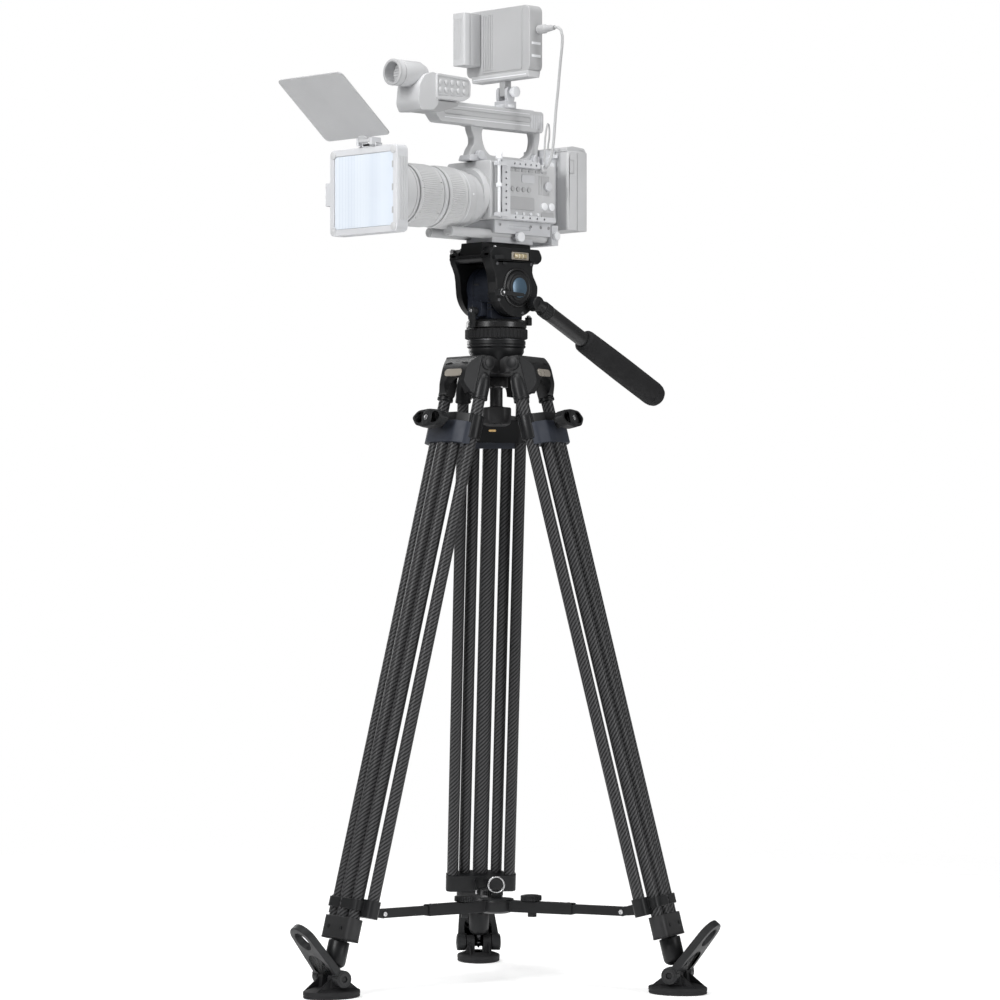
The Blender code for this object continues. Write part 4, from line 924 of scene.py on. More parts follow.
def tie_down():
    knob = [
        (0.01, 0.887), (0.016, 0.8875), (0.0215, 0.89), (0.0232, 0.894), (0.0238, 0.899),
        (0.0238, 0.915), (0.0228, 0.917), (0.011, 0.9182), (0.0102, 0.919), (0.0102, 0.948),
        (0.018, 0.949), (0.0185, 0.95), (0.0185, 0.964), (0.0175, 0.9655),
    ]
    flats = [
        turn_shape(block((-0.02, 0.02), (-0.045, -0.0205), (0.885, 0.9225)),
                   Matrix.Rotation(math.radians(a), 4, "Z"))
        for a in (46, 166, 286)
    ]
    bore = [rod(0.0058, "z", 0.926, 0.98)]
    piece("tie_down_grip", "casting_grey", "tie_down", [turned(knob)], flats + bore, bevel=0.001,
          replaces=["tie_down_knob"])
    line = turned([(0.015, 0.9484), (0.0186, 0.9487), (0.0186, 0.9494), (0.015, 0.9497)])
    piece("tie_down_line", "steel", "tie_down", [line], bevel=0)


# Fluid head

TILT = Vector(JOINTS["tilt"]["pos_m"]) - AXIS
TRAY = (1.148, 1.168)
HANDLE_PIVOT = Vector(JOINTS["handle_angle"]["pos_m"]) - AXIS
HANDLE_SLOPE = math.radians(26.8)


def pan_parts():
    ring = [knurled(0.05, 0.0012, 44, 1.0262, 1.0408)]
    collar = [turned([(0.044, 1.0253), (0.0482, 1.0253), (0.0487, 1.0262), (0.044, 1.0266)])]
    collar.append(turned([(0.044, 1.0404), (0.0487, 1.0408), (0.0482, 1.0417), (0.044, 1.0418)]))
    bore = [rod(0.0304, "z", 1.0, 1.06)]
    piece("drag_ring_grip", "rubber", "pan_ring", ring, bore, bevel=0.0003,
          replaces=["pan_drag_ring"])
    piece("drag_ring_edges", "casting", "pan_ring", collar, bevel=0.0002)
    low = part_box("pan_base")[0].z
    base = [
        (0.047, low), (0.0482, low + 0.0008), (0.0482, low + 0.0088), (0.0474, low + 0.0098),
        (0.044, low + 0.013), (0.042, low + 0.0134),
    ]
    piece("pan_base_band", "band", "pan", [turned(base, sides=96)], bevel=0.0003,
          replaces=["pan_base"])
    post = [rod(0.0048, "z", low + 0.002, low + 0.0128, (0.0325, 0.029, 0))]
    piece("pan_stop", "plastic", "pan", post, bevel=0.0006)
    spot = (0.0356, 0.0368, 0)
    knob = [knurled(0.0056, 0.0006, 12, 1.0475, 1.0605, "z", spot),
            rod(0.0034, "z", low + 0.008, 1.048, spot)]
    piece("pan_knob", "plastic", "pan", knob, bevel=0.0004)
    tip = [turned([(0.0036, 1.06), (0.0036, 1.0622), (0.0022, 1.0636)], "z", spot)]
    piece("pan_knob_tip", "steel", "pan", tip, bevel=0.0002)


def drum():
    low = 1.0562
    side = rounded([
        (-0.034, low), (0.034, low), (0.035, low + 0.02), (0.033, TILT.z), (-0.033, TILT.z),
        (-0.035, low + 0.02),
    ], 0.003)
    shell = [
        (0.032, -0.0332), (0.035, -0.0324), (0.0362, -0.03), (0.0362, -0.018), (0.0356, -0.0174),
        (0.0356, -0.0166), (0.0362, -0.016), (0.0362, 0.024), (0.035, 0.0266),
    ]
    shapes = [
        turned(shell, "x", (0, 0, TILT.z), 96), prism(side, "x", -0.03, 0.024),
        rod(0.0118, "x", -0.0415, 0.04, (0, 0, TILT.z)),
        prism(rounded([(-0.005, 1.06), (0.014, 1.06), (0.016, 1.07), (0.016, 1.083), (-0.006, 1.085)],
                      0.003), "y", -0.048, -0.02),
    ]
    hole = [rod(0.0046, "y", -0.06, -0.03, (-0.013, 0, 1.079))]
    piece("drum_shell", "drum_paint", "pan", shapes, hole, bevel=0.0009, replaces=["drum_housing"])
    ribs = [
        block((0.0175, 0.0255), (-0.0362 - 0.0003 * i, -0.03), (1.07 + 0.005 * i, 1.0722 + 0.005 * i))
        for i in range(6)
    ]
    piece("drum_ribs", "plastic", "pan", ribs)
    mark = prism(capsule((0, 0), 0.012, 0.0024), "y", -0.0006, 0.0004)
    around = Matrix.Translation((-0.008, -0.0359, TILT.z + 0.006))
    piece("drum_mark", "casting_grey", "pan", [mark], (), around, 0.0001)


def cheek(radius=0.046):
    """Side of a cradle cheek, as (y, z): round below the tilt axis, up to the tray above it."""
    lower = arc((0, TILT.z), radius, 192, 365, 48)
    front = [(-0.059, TRAY[0] + 0.004), (-0.0575, 1.145), (-0.053, 1.137), (-0.049, 1.128), (-0.0472, 1.118)]
    back = [(0.0418, 1.117), (0.0372, 1.124), (0.0345, 1.131), (0.035, 1.139), (0.04, TRAY[0] + 0.004)]
    return front + lower + back


def cradle():
    tray_side = rounded([
        (-0.05, 1.144), (-0.058, 1.15), (-0.059, 1.16), (-0.05, TRAY[1]), (0.049, TRAY[1]),
        (0.0555, 1.157), (0.054, 1.15), (0.045, 1.144), (0.038, TRAY[0]), (-0.04, TRAY[0]),
    ], 0.003)
    shapes = [
        prism(tray_side, "x", -0.047, 0.0478), prism(cheek(), "x", 0.0276, 0.0474),
        prism(cheek(), "x", -0.0462, -0.0341),
    ]
    cuts = [
        rod(0.0123, "x", -0.0419, 0.0404, (0, 0, TILT.z)),
        block((-0.0262, 0.0262), (-0.07, 0.07), (TRAY[0] + 0.0085, 1.18)),
        prism(rounded([(-0.0115, 1.1492), (0.028, 1.1492), (0.028, 1.1632), (-0.0115, 1.1632)], 0.002), "x",
              0.0412, 0.05),
        rod(0.031, "x", 0.045, 0.06, (0, 0, TILT.z), 96),
        block((0.033, 0.043), (-0.064, -0.05), (1.1545, 1.1585)),
        block((-0.043, -0.033), (-0.064, -0.05), (1.1545, 1.1585)),
    ]
    piece("cradle_body", "casting", "tilt", shapes, cuts, bevel=0.001, replaces=["tilt_cradle"])
    border = rounded([
        (-0.047, 1.12), (-0.0461, 1.1), (-0.044, 1.093), (-0.0425, 1.095), (-0.044, 1.118),
    ], 0.001)
    piece("cradle_edge", "casting_grey", "tilt", [prism(border, "x", 0.03, 0.0478)], bevel=0.0004)
    centre = (0, 0, TILT.z)
    bezel = [
        (0.0255, 0.044), (0.031, 0.0446), (0.031, 0.0484), (0.03, 0.0496), (0.0285, 0.05),
        (0.0276, 0.0492), (0.0268, 0.0484), (0.0255, 0.0484),
    ]
    piece("dial_bezel", "band", "tilt", [turned(bezel, "x", centre, 96)], bevel=0.0002)
    plate = prism(rounded([(-0.033, 1.1405), (-0.033, 1.145), (-0.023, 1.145), (-0.023, 1.1405)], 0.002),
                  "x", 0.0472, 0.0492)
    screws = [
        rod(0.0026, "x", 0.047, 0.0486, (0, y, z))
        for y, z in ((-0.044, 1.142), (0.031, 1.144), (-0.04, 1.085), (0.012, 1.066))
    ]
    piece("cradle_plate", "plastic", "tilt", [plate], bevel=0.0006)
    piece("cradle_screws", "dark_steel", "tilt", screws, bevel=0.0003)
    knob = [rod(0.0038, "y", -0.0625, -0.056, (-0.038, 0, 1.164)),
            rod(0.0026, "z", 1.168, 1.1708, (0.038, -0.04, 0))]
    piece("plate_lock_pin", "steel", "tilt", knob, bevel=0.0004)
    safety = rounded([(-0.053, 1.148), (-0.053, 1.1545), (-0.035, 1.156), (-0.033, 1.15)], 0.002)
    piece("plate_catch", "plastic", "tilt", [prism(safety, "x", 0.0474, 0.053)], bevel=0.0006)
    rails = [block((x0, x1), (-0.0485, 0.048), (TRAY[1] - 0.001, TRAY[1] + 0.0012))
             for x0, x1 in ((-0.033, -0.0268), (0.0268, 0.033))]
    piece("tray_rails", "casting_grey", "tilt", rails, bevel=0.0004)
    window = [prism(rounded([(-0.0105, 1.15), (0.027, 1.15), (0.027, 1.1624), (-0.0105, 1.1624)], 0.0015),
                    "x",
                    0.041, 0.0462)]
    opening = [prism(capsule((0.0085, 1.1562), 0.03, 0.0085), "x", 0.0435, 0.048)]
    piece("vial_seat", "champagne", "tilt", window, opening, bevel=0.0004)
    vial = [turned([(0.0032, -0.005), (0.004, -0.0038), (0.004, 0.0208), (0.0032, 0.022)], "y",
                   (0.045, 0, 1.1562))]
    piece("vial_body", "amber", "tilt", vial, bevel=0, replaces=["level_vial"])
    line = [rod(0.00415, "y", y, y + 0.0011, (0.045, 0, 1.1562)) for y in (0.004, 0.012)]
    piece("vial_lines", "vial_line", "tilt", line, bevel=0)


def controls():
    centre = (0, 0, TILT.z)
    face = [(0.0262, 0.0483), (0.0258, 0.05), (0.0245, 0.0528), (0.023, 0.0533), (0.0222, 0.053)]
    piece("dial_rim", "casting", "tilt_dial",
          [turned(face + [(0.019, 0.0529)], "x", centre, 96)], bevel=0.0002, replaces=["tilt_drag_dial"])
    middle = [(0.0158, 0.052), (0.0158, 0.0536), (0.015, 0.0541)]
    piece("dial_face", "dial", "tilt_dial", [turned(middle, "x", centre, 96)], bevel=0.0002)
    steps = [(0.0205, 0.0522), (0.0205, 0.0535), (0.0199, 0.0539), (0.0168, 0.0539), (0.016, 0.0532)]
    piece("dial_ring", "plastic", "tilt_dial", [turned(steps, "x", centre, 96)], bevel=0.0002)
    ticks = []
    for i in range(9):
        turn = Matrix.Translation(centre) @ Matrix.Rotation(math.radians(-120 + 30 * i), 4, "X")
        ticks.append(turn_shape(block((0.0526, 0.0533), (-0.0004, 0.0004), (0.0212, 0.0224)), turn))
    piece("dial_ticks", "casting_grey", "tilt_dial", ticks, bevel=0)
    knob = [knurled(0.023, 0.0014, 18, -0.0555, -0.0482, "x", centre)]
    knob.append(rod(0.015, "x", -0.0562, -0.055, centre))
    piece("counterbalance_grip", "plastic", "counterbalance", knob, bevel=0.0004,
          replaces=["counterbalance_knob"])

    hub = JOINTS["tilt_lock"]["pos_m"]
    hub = (0, hub[1] - AXIS.y, hub[2])
    stem = [(0.0065, 0.0477), (0.0065, 0.056), (0.0058, 0.0566), (0.0058, 0.062), (0.0045, 0.0628)]
    arm = rounded([(-0.043, 1.0918), (-0.01, 1.0912), (0.002, 1.0915), (0.0045, 1.094), (0.002, 1.0965),
                   (-0.018, 1.0972), (-0.043, 1.0995)], 0.0015)
    piece("tilt_lock_arm", "plastic", "tilt_lock",
          [turned(stem, "x", hub), prism(arm, "x", 0.0562, 0.0612)],
          (), bevel=0.0009, replaces=["tilt_lock_lever"])
    tip = [turned([(0.0024, 0.0622), (0.0024, 0.0634), (0.0014, 0.064)], "x", hub)]
    tip.append(turned([(0.0052, 0.0598), (0.0061, 0.0602), (0.0061, 0.061), (0.0052, 0.0614)], "x", hub))
    piece("tilt_lock_screw", "steel", "tilt_lock", tip, bevel=0.0002)

    hub = JOINTS["pan_lock"]["pos_m"]
    hub = (hub[0] - AXIS.x, 0, hub[2])
    arm = rounded([(0.0005, 1.041), (0.0072, 1.041), (0.0082, 1.07), (-0.0002, 1.07)], 0.0025)
    ribs = [block((-0.0002, 0.0078), (-0.0598, -0.0588),
                  (1.043 + 0.0032 * i, 1.0444 + 0.0032 * i)) for i in range(5)]
    stem = [(0.0062, -0.0484), (0.0062, -0.059), (0.005, -0.0596)]
    piece("pan_lock_arm", "plastic", "pan_lock",
          [turned(stem, "y", hub), prism(arm, "y", -0.059, -0.053)] + ribs, bevel=0.0006,
          replaces=["pan_lock_lever"])
    tip = [turned([(0.0026, -0.0592), (0.0026, -0.0604), (0.0016, -0.0608)], "y", hub)]
    piece("pan_lock_screw", "steel", "pan_lock", tip, bevel=0.0002)

    low = TRAY[0] + 0.0088
    top = 1.1765
    outline = [(-0.0257, low), (0.0257, low), (0.0257, 1.1655), (0.024, top), (-0.024, top),
               (-0.0257, 1.1655)]
    plate = [prism(outline, "y", -0.054, 0.052)]
    slots = [prism(capsule((0, y), 0.006, 0.005), "z", 1.17, 1.19) for y in (-0.045, 0.045)]
    piece("plate_body", "casting", "camera", plate, slots, bevel=0.0005, replaces=["slide_plate"])


def pan_handle():
    """In the handle's own frame, -Z runs down the tube from the rosette."""
    matrix = Matrix.Translation(HANDLE_PIVOT) @ Matrix.Rotation(math.pi / 2 - HANDLE_SLOPE, 4, "X")
    shapes = [
        turned([(0.0105, -0.0103), (0.0118, -0.0095), (0.0118, 0.0055), (0.0105, 0.007)], "x"),
        turned([(0.01, 0.0), (0.011, -0.01), (0.0118, -0.0135), (0.0108, -0.0142)]),
    ]
    piece("handle_clamp", "casting", "handle", shapes, (), matrix, 0.0006, ["pan_handle"])
    nut = [knurled(0.0128, 0.0008, 24, -0.03, -0.0145)]
    piece("handle_nut", "plastic", "handle", nut, (), matrix, 0.0003)
    bar = [turned([(0.01, -0.29), (0.0122, -0.289), (0.0122, -0.031), (0.0112, -0.0298)])]
    groove = [block((0.0115, 0.02), (-0.0014, 0.0014), (-0.118, -0.04)),
              block((-0.02, -0.0115), (-0.0014, 0.0014), (-0.118, -0.04))]
    piece("handle_tube", "band", "handle", bar, groove, matrix, 0.0003)
    outline = [
        (0.008, -0.3165), (0.013, -0.3148), (0.0168, -0.311), (0.0192, -0.305), (0.0202, -0.298),
        (0.0204, -0.22), (0.0199, -0.17), (0.0191, -0.125), (0.0184, -0.1205), (0.015, -0.118),
    ]
    flats = []
    for i in range(8):
        turn = Matrix.Rotation(math.pi / 4 * i, 4, "Z")
        flats.append(turn_shape(block((0.0196, 0.03), (-0.02, 0.02), (-0.295, -0.133)), turn))
    cuts = flats + [rod(0.0124, "z", -0.2903, -0.1, sides=96)]
    piece("grip_foam", "foam", "handle", [turned(outline, sides=96)], cuts, matrix, 0.0006,
          ["handle_grip"])


# Camera rig

LENS = (0.0, 0.0, 1.2437)


def rig_base():
    top = 1.212
    shapes = [
        block((-0.03, 0.03), (-0.038, 0.052), (1.1768, 1.193)),
        block((-0.037, 0.037), (-0.039, 0.087), (1.1915, top)),
        block((-0.048, 0.04), (0.085, 0.1), (1.178, 1.21)),
    ]
    cuts = [prism(capsule((0, 1.2015), 0.05, 0.006), "x", 0.035, 0.04),
            prism(capsule((0.03, 1.2015), 0.02, 0.006), "x", -0.04, -0.035)]
    cuts[0] = prism([(0.015 + a, b) for a, b in capsule((0, 1.2015), 0.05, 0.006)], "x", 0.035, 0.04)
    piece("base_body", "rig_light", "camera", shapes, cuts, bevel=0.0009,
          replaces=["base_plate"])
    rods = [rod(0.0075, "y", -0.125, 0.095, (x, 0, 1.19)) for x in (-0.024, 0.024)]
    ends = [rod(0.0055, "y", -0.1262, -0.1245, (x, 0, 1.19)) for x in (-0.024, 0.024)]
    piece("base_rods", "rig_grey", "camera", rods + ends, bevel=0.0006)
    knobs = [knurled(0.0085, 0.0008, 18, 0.0372, 0.0445, "x", (0, 0.013, 1.187)),
             knurled(0.007, 0.0008, 16, 0.04, 0.046, "x", (0, 0.0925, 1.193))]
    knobs.append(rod(0.0035, "x", 0.028, 0.038, (0, 0.013, 1.187)))
    piece("base_knobs", "rig_white", "camera", knobs, bevel=0.0003)
    screws = [rod(0.0025, "x", 0.0368, 0.038, (0, y, 1.205)) for y in (-0.028, 0.04, 0.062, 0.08)]
    screws += [rod(0.0025, "x", -0.038, -0.0368, (0, y, 1.205)) for y in (-0.028, 0.04, 0.062, 0.08)]
    piece("base_screws", "steel", "camera", screws, bevel=0.0002)


def camera_body():
    low, top = 1.2123, 1.305
    box = rounded([(-0.055, low), (0.045, low), (0.045, top), (-0.055, top)], 0.006)
    shapes = [
        prism(box, "y", -0.056, 0.087),
        rod(0.005, "z", 1.25, 1.3053, (0.03, 0.078, 0)),
        rod(0.0055, "x", 0.04, 0.0562, (0, 0.053, 1.2975)),
    ]
    vents = [block((-0.056, -0.0535), (-0.02 + 0.006 * i, -0.017 + 0.006 * i),
                   (1.235, 1.29)) for i in range(12)]
    vents += [block((0.0435, 0.046), (0.05 + 0.0052 * i, 0.0526 + 0.0052 * i),
                    (1.256, 1.286)) for i in range(5)]
    piece("body_shell", "rig_grey", "camera", shapes, vents, bevel=0.001,
          replaces=["camera_body"])
    mount = [(0.03, -0.056), (0.044, -0.054), (0.044, -0.061), (0.0425, -0.064), (0.0425, -0.0665),
             (0.03, -0.0665)]
    piece("lens_mount", "rig_grey", "camera",
          [turned([(r, y) for r, y in mount], "y", (0, 0, LENS[2] + 0.0075))])
    detail = [prism(rounded([(-0.018, 1.23), (0.04, 1.23), (0.04, 1.25), (-0.018, 1.25)], 0.002), "x",
                    0.0445, 0.0462)]
    detail += [rod(0.004, "x", 0.0445, 0.0475, (0, -0.008 + 0.012 * i, 1.262)) for i in range(4)]
    piece("body_panel", "rig_dark", "camera", detail)
    sockets = [turned([(0.0062, 0.0445), (0.0062, 0.0475), (0.0046, 0.048)], "x", (0, y, z))
               for y, z in ((0.062, 1.238), (0.078, 1.238))]
    sockets += [rod(0.0026, "x", 0.0445, 0.047, (0, y, 1.224)) for y in (0.0, 0.016, 0.032, 0.048)]
    piece("body_sockets", "rig_white", "camera", sockets, bevel=0.0004)
    dial = [knurled(0.0072, 0.0006, 20, 0.0445, 0.05, "x", (0, 0.07, 1.27)),
            rod(0.0042, "x", 0.0495, 0.0512, (0, 0.07, 1.27)),
            prism(rounded([(0.012, 1.273), (0.04, 1.273), (0.04, 1.286), (0.012, 1.286)], 0.003), "x",
                  0.0445, 0.0464)]
    piece("body_dial", "rig_light", "camera", dial, bevel=0.0003)
    doors = [prism(rounded([(0.056, 1.215), (0.084, 1.215), (0.084, 1.229), (0.056, 1.229)], 0.002), "x",
                   0.0445, 0.0458)]
    doors += [block((0.0445, 0.047), (-0.018 + 0.015 * i, -0.008 + 0.015 * i),
                    (1.29, 1.2945)) for i in range(6)]
    piece("body_doors", "rig_dark", "camera", doors, bevel=0.0004)


def camera_cage():
    x = (0.0465, 0.055)
    outline = rounded([(-0.04, 1.2125), (0.08, 1.2125), (0.08, 1.22), (-0.022, 1.22), (-0.022, 1.296),
                       (0.045, 1.296), (0.045, 1.306), (-0.04, 1.306)], 0.003)
    holes = [rod(0.0018, "x", 0.04, 0.06, (0, -0.031, 1.226 + 0.01 * i), 16) for i in range(7)]
    holes += [rod(0.0018, "x", 0.04, 0.06, (0, -0.012 + 0.012 * i, 1.301), 16) for i in range(5)]
    holes += [rod(0.0018, "x", 0.04, 0.06, (0, -0.01 + 0.016 * i, 1.2162), 16) for i in range(5)]
    clamps = [block((0.047, 0.058), (-0.051, -0.03), z) for z in ((1.216, 1.222), (1.296, 1.302))]
    piece("cage_frame", "rig_light", "camera", [prism(outline, "x", *x)] + clamps, holes,
          bevel=0.0005, replaces=["camera_cage"])
    post = [rod(0.0026, "z", 1.215, 1.308, (0.055, -0.047, 0)),
            knurled(0.0055, 0.0006, 16, 1.306, 1.316, "z", (0.055, -0.047, 0)),
            knurled(0.005, 0.0006, 16, 1.262, 1.268, "z", (0.055, -0.047, 0))]
    piece("cage_post", "rig_white", "camera", post, bevel=0.0002)


def top_handle():
    """A bar on two slim struts, over a foot."""
    low, top = 1.3053, 1.394
    bar = rounded([
        (0.0935, 1.364), (0.0935, top - 0.003), (0.09, top), (-0.164, top), (-0.164, 1.38), (-0.145, 1.375),
        (-0.133, 1.362), (-0.07, 1.362), (-0.056, 1.36), (0.056, 1.36), (0.09, 1.36),
    ], 0.004, 5)
    struts = rounded([
        (-0.07, low), (0.086, low), (0.086, 1.3345), (0.0905, 1.35), (0.09, 1.372), (-0.064, 1.372),
        (-0.063, 1.356), (-0.056, 1.342), (-0.056, 1.333), (-0.064, 1.323),
    ], 0.007, 5)
    gap = rounded([
        (-0.02, 1.317), (0.056, 1.317), (0.069, 1.325), (0.0755, 1.337), (0.077, 1.35),
        (0.074, 1.361), (-0.034, 1.361), (-0.039, 1.352), (-0.037, 1.338), (-0.031, 1.325),
    ], 0.007, 5)
    slots = []
    for side in (-1, 1):
        ends = span(side, 0.0112, 0.02)
        slots.append(prism([(-0.03 + a, b) for a, b in capsule((0, 1.379), 0.19, 0.008)], "x", *ends))
    piece("handle_frame", "rig_grey", "camera", [prism(bar, "x", -0.013, 0.013)], slots,
          bevel=0.0014, replaces=["top_handle"])
    piece("handle_struts", "rig_grey", "camera", [prism(struts, "x", -0.008, 0.008)],
          [prism(gap, "x", -0.02, 0.02)], bevel=0.0022)
    feet = [prism(rounded([(y0, low), (y1, low), (y1 - 0.004, 1.315), (y0 + 0.004, 1.315)], 0.003), "x",
                  -0.013, 0.013)
            for y0, y1 in ((-0.072, -0.03), (0.05, 0.087))]
    piece("handle_feet", "rig_light", "camera", feet, bevel=0.0008)
    rail = [block((-0.01, 0.01), (-0.09, 0.074), (top - 0.002, top + 0.0014))]
    rail_cut = [block((-0.0045, 0.0045), (-0.1, 0.096), (top + 0.0002, top + 0.01))]
    piece("handle_rail", "rig_light", "camera", rail, rail_cut, bevel=0.0004)
    grips = [block(span(side, 0.0118, 0.0134), (0.066 + 0.0052 * i, 0.0688 + 0.0052 * i), (1.366, 1.388))
             for side in (-1, 1) for i in range(5)]
    piece("handle_ridges", "rig_light", "camera", grips, bevel=0.0003)
    lines = [block(span(side, 0.0125, 0.0133), (-0.125, 0.062), (1.369, 1.3704)) for side in (-1, 1)]
    lines += [block(span(side, 0.0125, 0.0133), (-0.125, 0.062), (1.388, 1.389)) for side in (-1, 1)]
    piece("handle_lines", "rig_white", "camera", lines, bevel=0)
    knobs = [knurled(0.0075, 0.0007, 18, 0.0078, 0.0165, "x", (0, y, z)) for y,
             z in ((-0.048, 1.315), (0.074, 1.316))]
    piece("handle_knobs", "rig_light", "camera", knobs, bevel=0.0003)


def lens():
    centre = (0, 0, LENS[2])
    barrel = [
        (0.044, -0.2617), (0.044, -0.241), (0.0448, -0.239), (0.0462, -0.232), (0.047, -0.23),
        (0.047, -0.215), (0.0463, -0.2146), (0.0463, -0.2138), (0.047, -0.2134), (0.047, -0.2092),
        (0.044, -0.2088), (0.044, -0.156), (0.047, -0.1555), (0.047, -0.1475), (0.043, -0.1473),
        (0.043, -0.105), (0.0468, -0.1048), (0.0468, -0.099), (0.0455, -0.086), (0.0445, -0.085),
        (0.0415, -0.078), (0.041, -0.0668),
    ]
    front = [rod(0.039, "y", -0.27, -0.255, centre)]
    shapes = [turned(barrel, "y", centre, 96), block((-0.012, 0.012), (-0.104, -0.084), (1.188, 1.21))]
    piece("lens_body", "rig_grey", "camera", shapes, front, bevel=0.0004,
          replaces=["lens_barrel"])
    element = [(0.01, -0.26), (0.025, -0.2588), (0.0385, -0.256), (0.0385, -0.255)]
    piece("lens_element", "screen", "camera", [turned(element, "y", centre)], bevel=0)
    marks = [rod(0.0473, "y", -0.152, -0.1514, centre, 96), rod(0.0471, "y", -0.101, -0.1004, centre, 96)]
    piece("lens_lines", "rig_white", "camera", marks, bevel=0)
    dots = [rod(0.0018, "x", 0.0465, 0.0475, (0, y, LENS[2] + 0.004), 24) for y in (-0.095, -0.113)]
    piece("lens_dots", "rig_white", "camera", dots, bevel=0)
    for body, node, start, end, outer, inner in (
        ("focus", "focus_ring", -0.207, -0.158, 0.0492, 0.0448),
        ("zoom", "zoom_ring", -0.1458, -0.1065, 0.049, 0.0438),
    ):
        teeth = 90
        ring = [turned([(outer - 0.0012, start), (outer - 0.0006, start + 0.0006),
                        (outer - 0.0006, end - 0.0006),
                        (outer - 0.0012, end)], "y", centre, 96)]
        ring.append(knurled(outer, 0.0008, teeth, start + 0.006, end - 0.006, "y", centre))
        bore = [rod(inner, "y", start - 0.01, end + 0.01, centre, 64)]
        piece(body + "_ring_grip", "rig_rubber", body, ring, bore, bevel=0.0002, replaces=[node])


def matte_box():
    x, z = 0.0775, (1.177, 1.3105)
    outline = rounded([(-x, z[0]), (x, z[0]), (x, z[1]), (-x, z[1])], 0.01, 6)
    shapes = [prism(outline, "y", -0.285, -0.2621), block((-0.0905, -0.077), (-0.283, -0.268),
                                                          (1.225, 1.261)),
              block((-0.008, 0.028), (-0.284, -0.27), (1.308, 1.316))]
    shapes += [
        block(sorted((0.01 + s * 0.0125, 0.01 + s * 0.0175)), (-0.293, -0.272),
              (1.312, 1.3245)) for s in (-1, 1)
    ]
    tunnel = block((-0.064, 0.064), (-0.3, -0.27), (1.1905, 1.2965))
    seat = prism(rounded([(-0.0675, 1.187), (0.0675, 1.187), (0.0675, 1.3), (-0.0675, 1.3)], 0.003), "y",
                 -0.3, -0.279)
    throat = rod(0.0446, "y", -0.28, -0.255, LENS)
    piece("matte_frame", "rig_light", "camera", shapes, [tunnel, seat, throat], bevel=0.0012,
          replaces=["matte_box"])
    bumps = []
    for cx in (-0.069, 0.069):
        for cz in (1.185, 1.3025):
            bumps.append(turned([(0.0062, -0.284), (0.0062, -0.2858), (0.0045, -0.2866)], "y", (cx, 0, cz),
                                32))
    piece("matte_corner_caps", "rig_grey", "camera", bumps, bevel=0.0003)
    side_ribs = [block((0.0768, 0.0782), (-0.281 + 0.0045 * i, -0.2788 + 0.0045 * i),
                       (1.195, 1.2925)) for i in range(4)]
    side_ribs += [block((-0.0782, -0.0768), (-0.281 + 0.0045 * i, -0.2788 + 0.0045 * i),
                        (1.195, 1.22)) for i in range(4)]
    piece("matte_ribs", "rig_grey", "camera", side_ribs, bevel=0.0003)
    latch = [prism(rounded([(-0.28, 1.233), (-0.271, 1.233), (-0.271, 1.253), (-0.28, 1.253)], 0.002), "x",
                   -0.0912, -0.089)]
    piece("matte_latch", "rig_dark", "camera", latch, bevel=0.0004)
    tabs = [block((0.066, 0.069), (-0.2856, -0.28), (z0, z0 + 0.01)) for z0 in (1.205, 1.24, 1.275)]
    piece("matte_tabs", "rig_dark", "camera", tabs, bevel=0.0004)
    pane = prism(rounded([(-0.0672, 1.1873), (0.0672, 1.1873), (0.0672, 1.2997), (-0.0672, 1.2997)], 0.003),
                 "y",
                 -0.2835, -0.2793)
    piece("filter_pane", "filter", "camera", [pane], bevel=0.0004, replaces=["filter_glass"])


def matte_flag():
    """A thin plate with round corners, rising forward from its hinge knuckle."""
    hinge = Vector(JOINTS["flag_fold"]["pos_m"]) - AXIS
    half, length = 0.0735, 0.1335
    plate_outline = rounded([(half, 0), (half, length), (-half, length), (-half, 0)], 0.009, 8)
    plate = prism([(px + hinge.x, py + 0.006) for px, py in plate_outline], "z", -0.001, 0.0012)
    slope = math.radians(40)
    matrix = Matrix.Translation(hinge) @ Matrix.Rotation(math.pi, 4, "Z") @ Matrix.Rotation(slope, 4, "X")
    piece("flag_plate", "rig_dark", "flag", [plate], (), matrix, 0.0005, ["matte_flag"])
    tongue = [prism(capsule((0, 0.004), 0.02, 0.013), "z", -0.0022, 0.0022), rod(0.0036, "x", -0.012, 0.012)]
    piece("flag_hinge", "rig_grey", "flag", tongue, (), matrix, 0.0005)


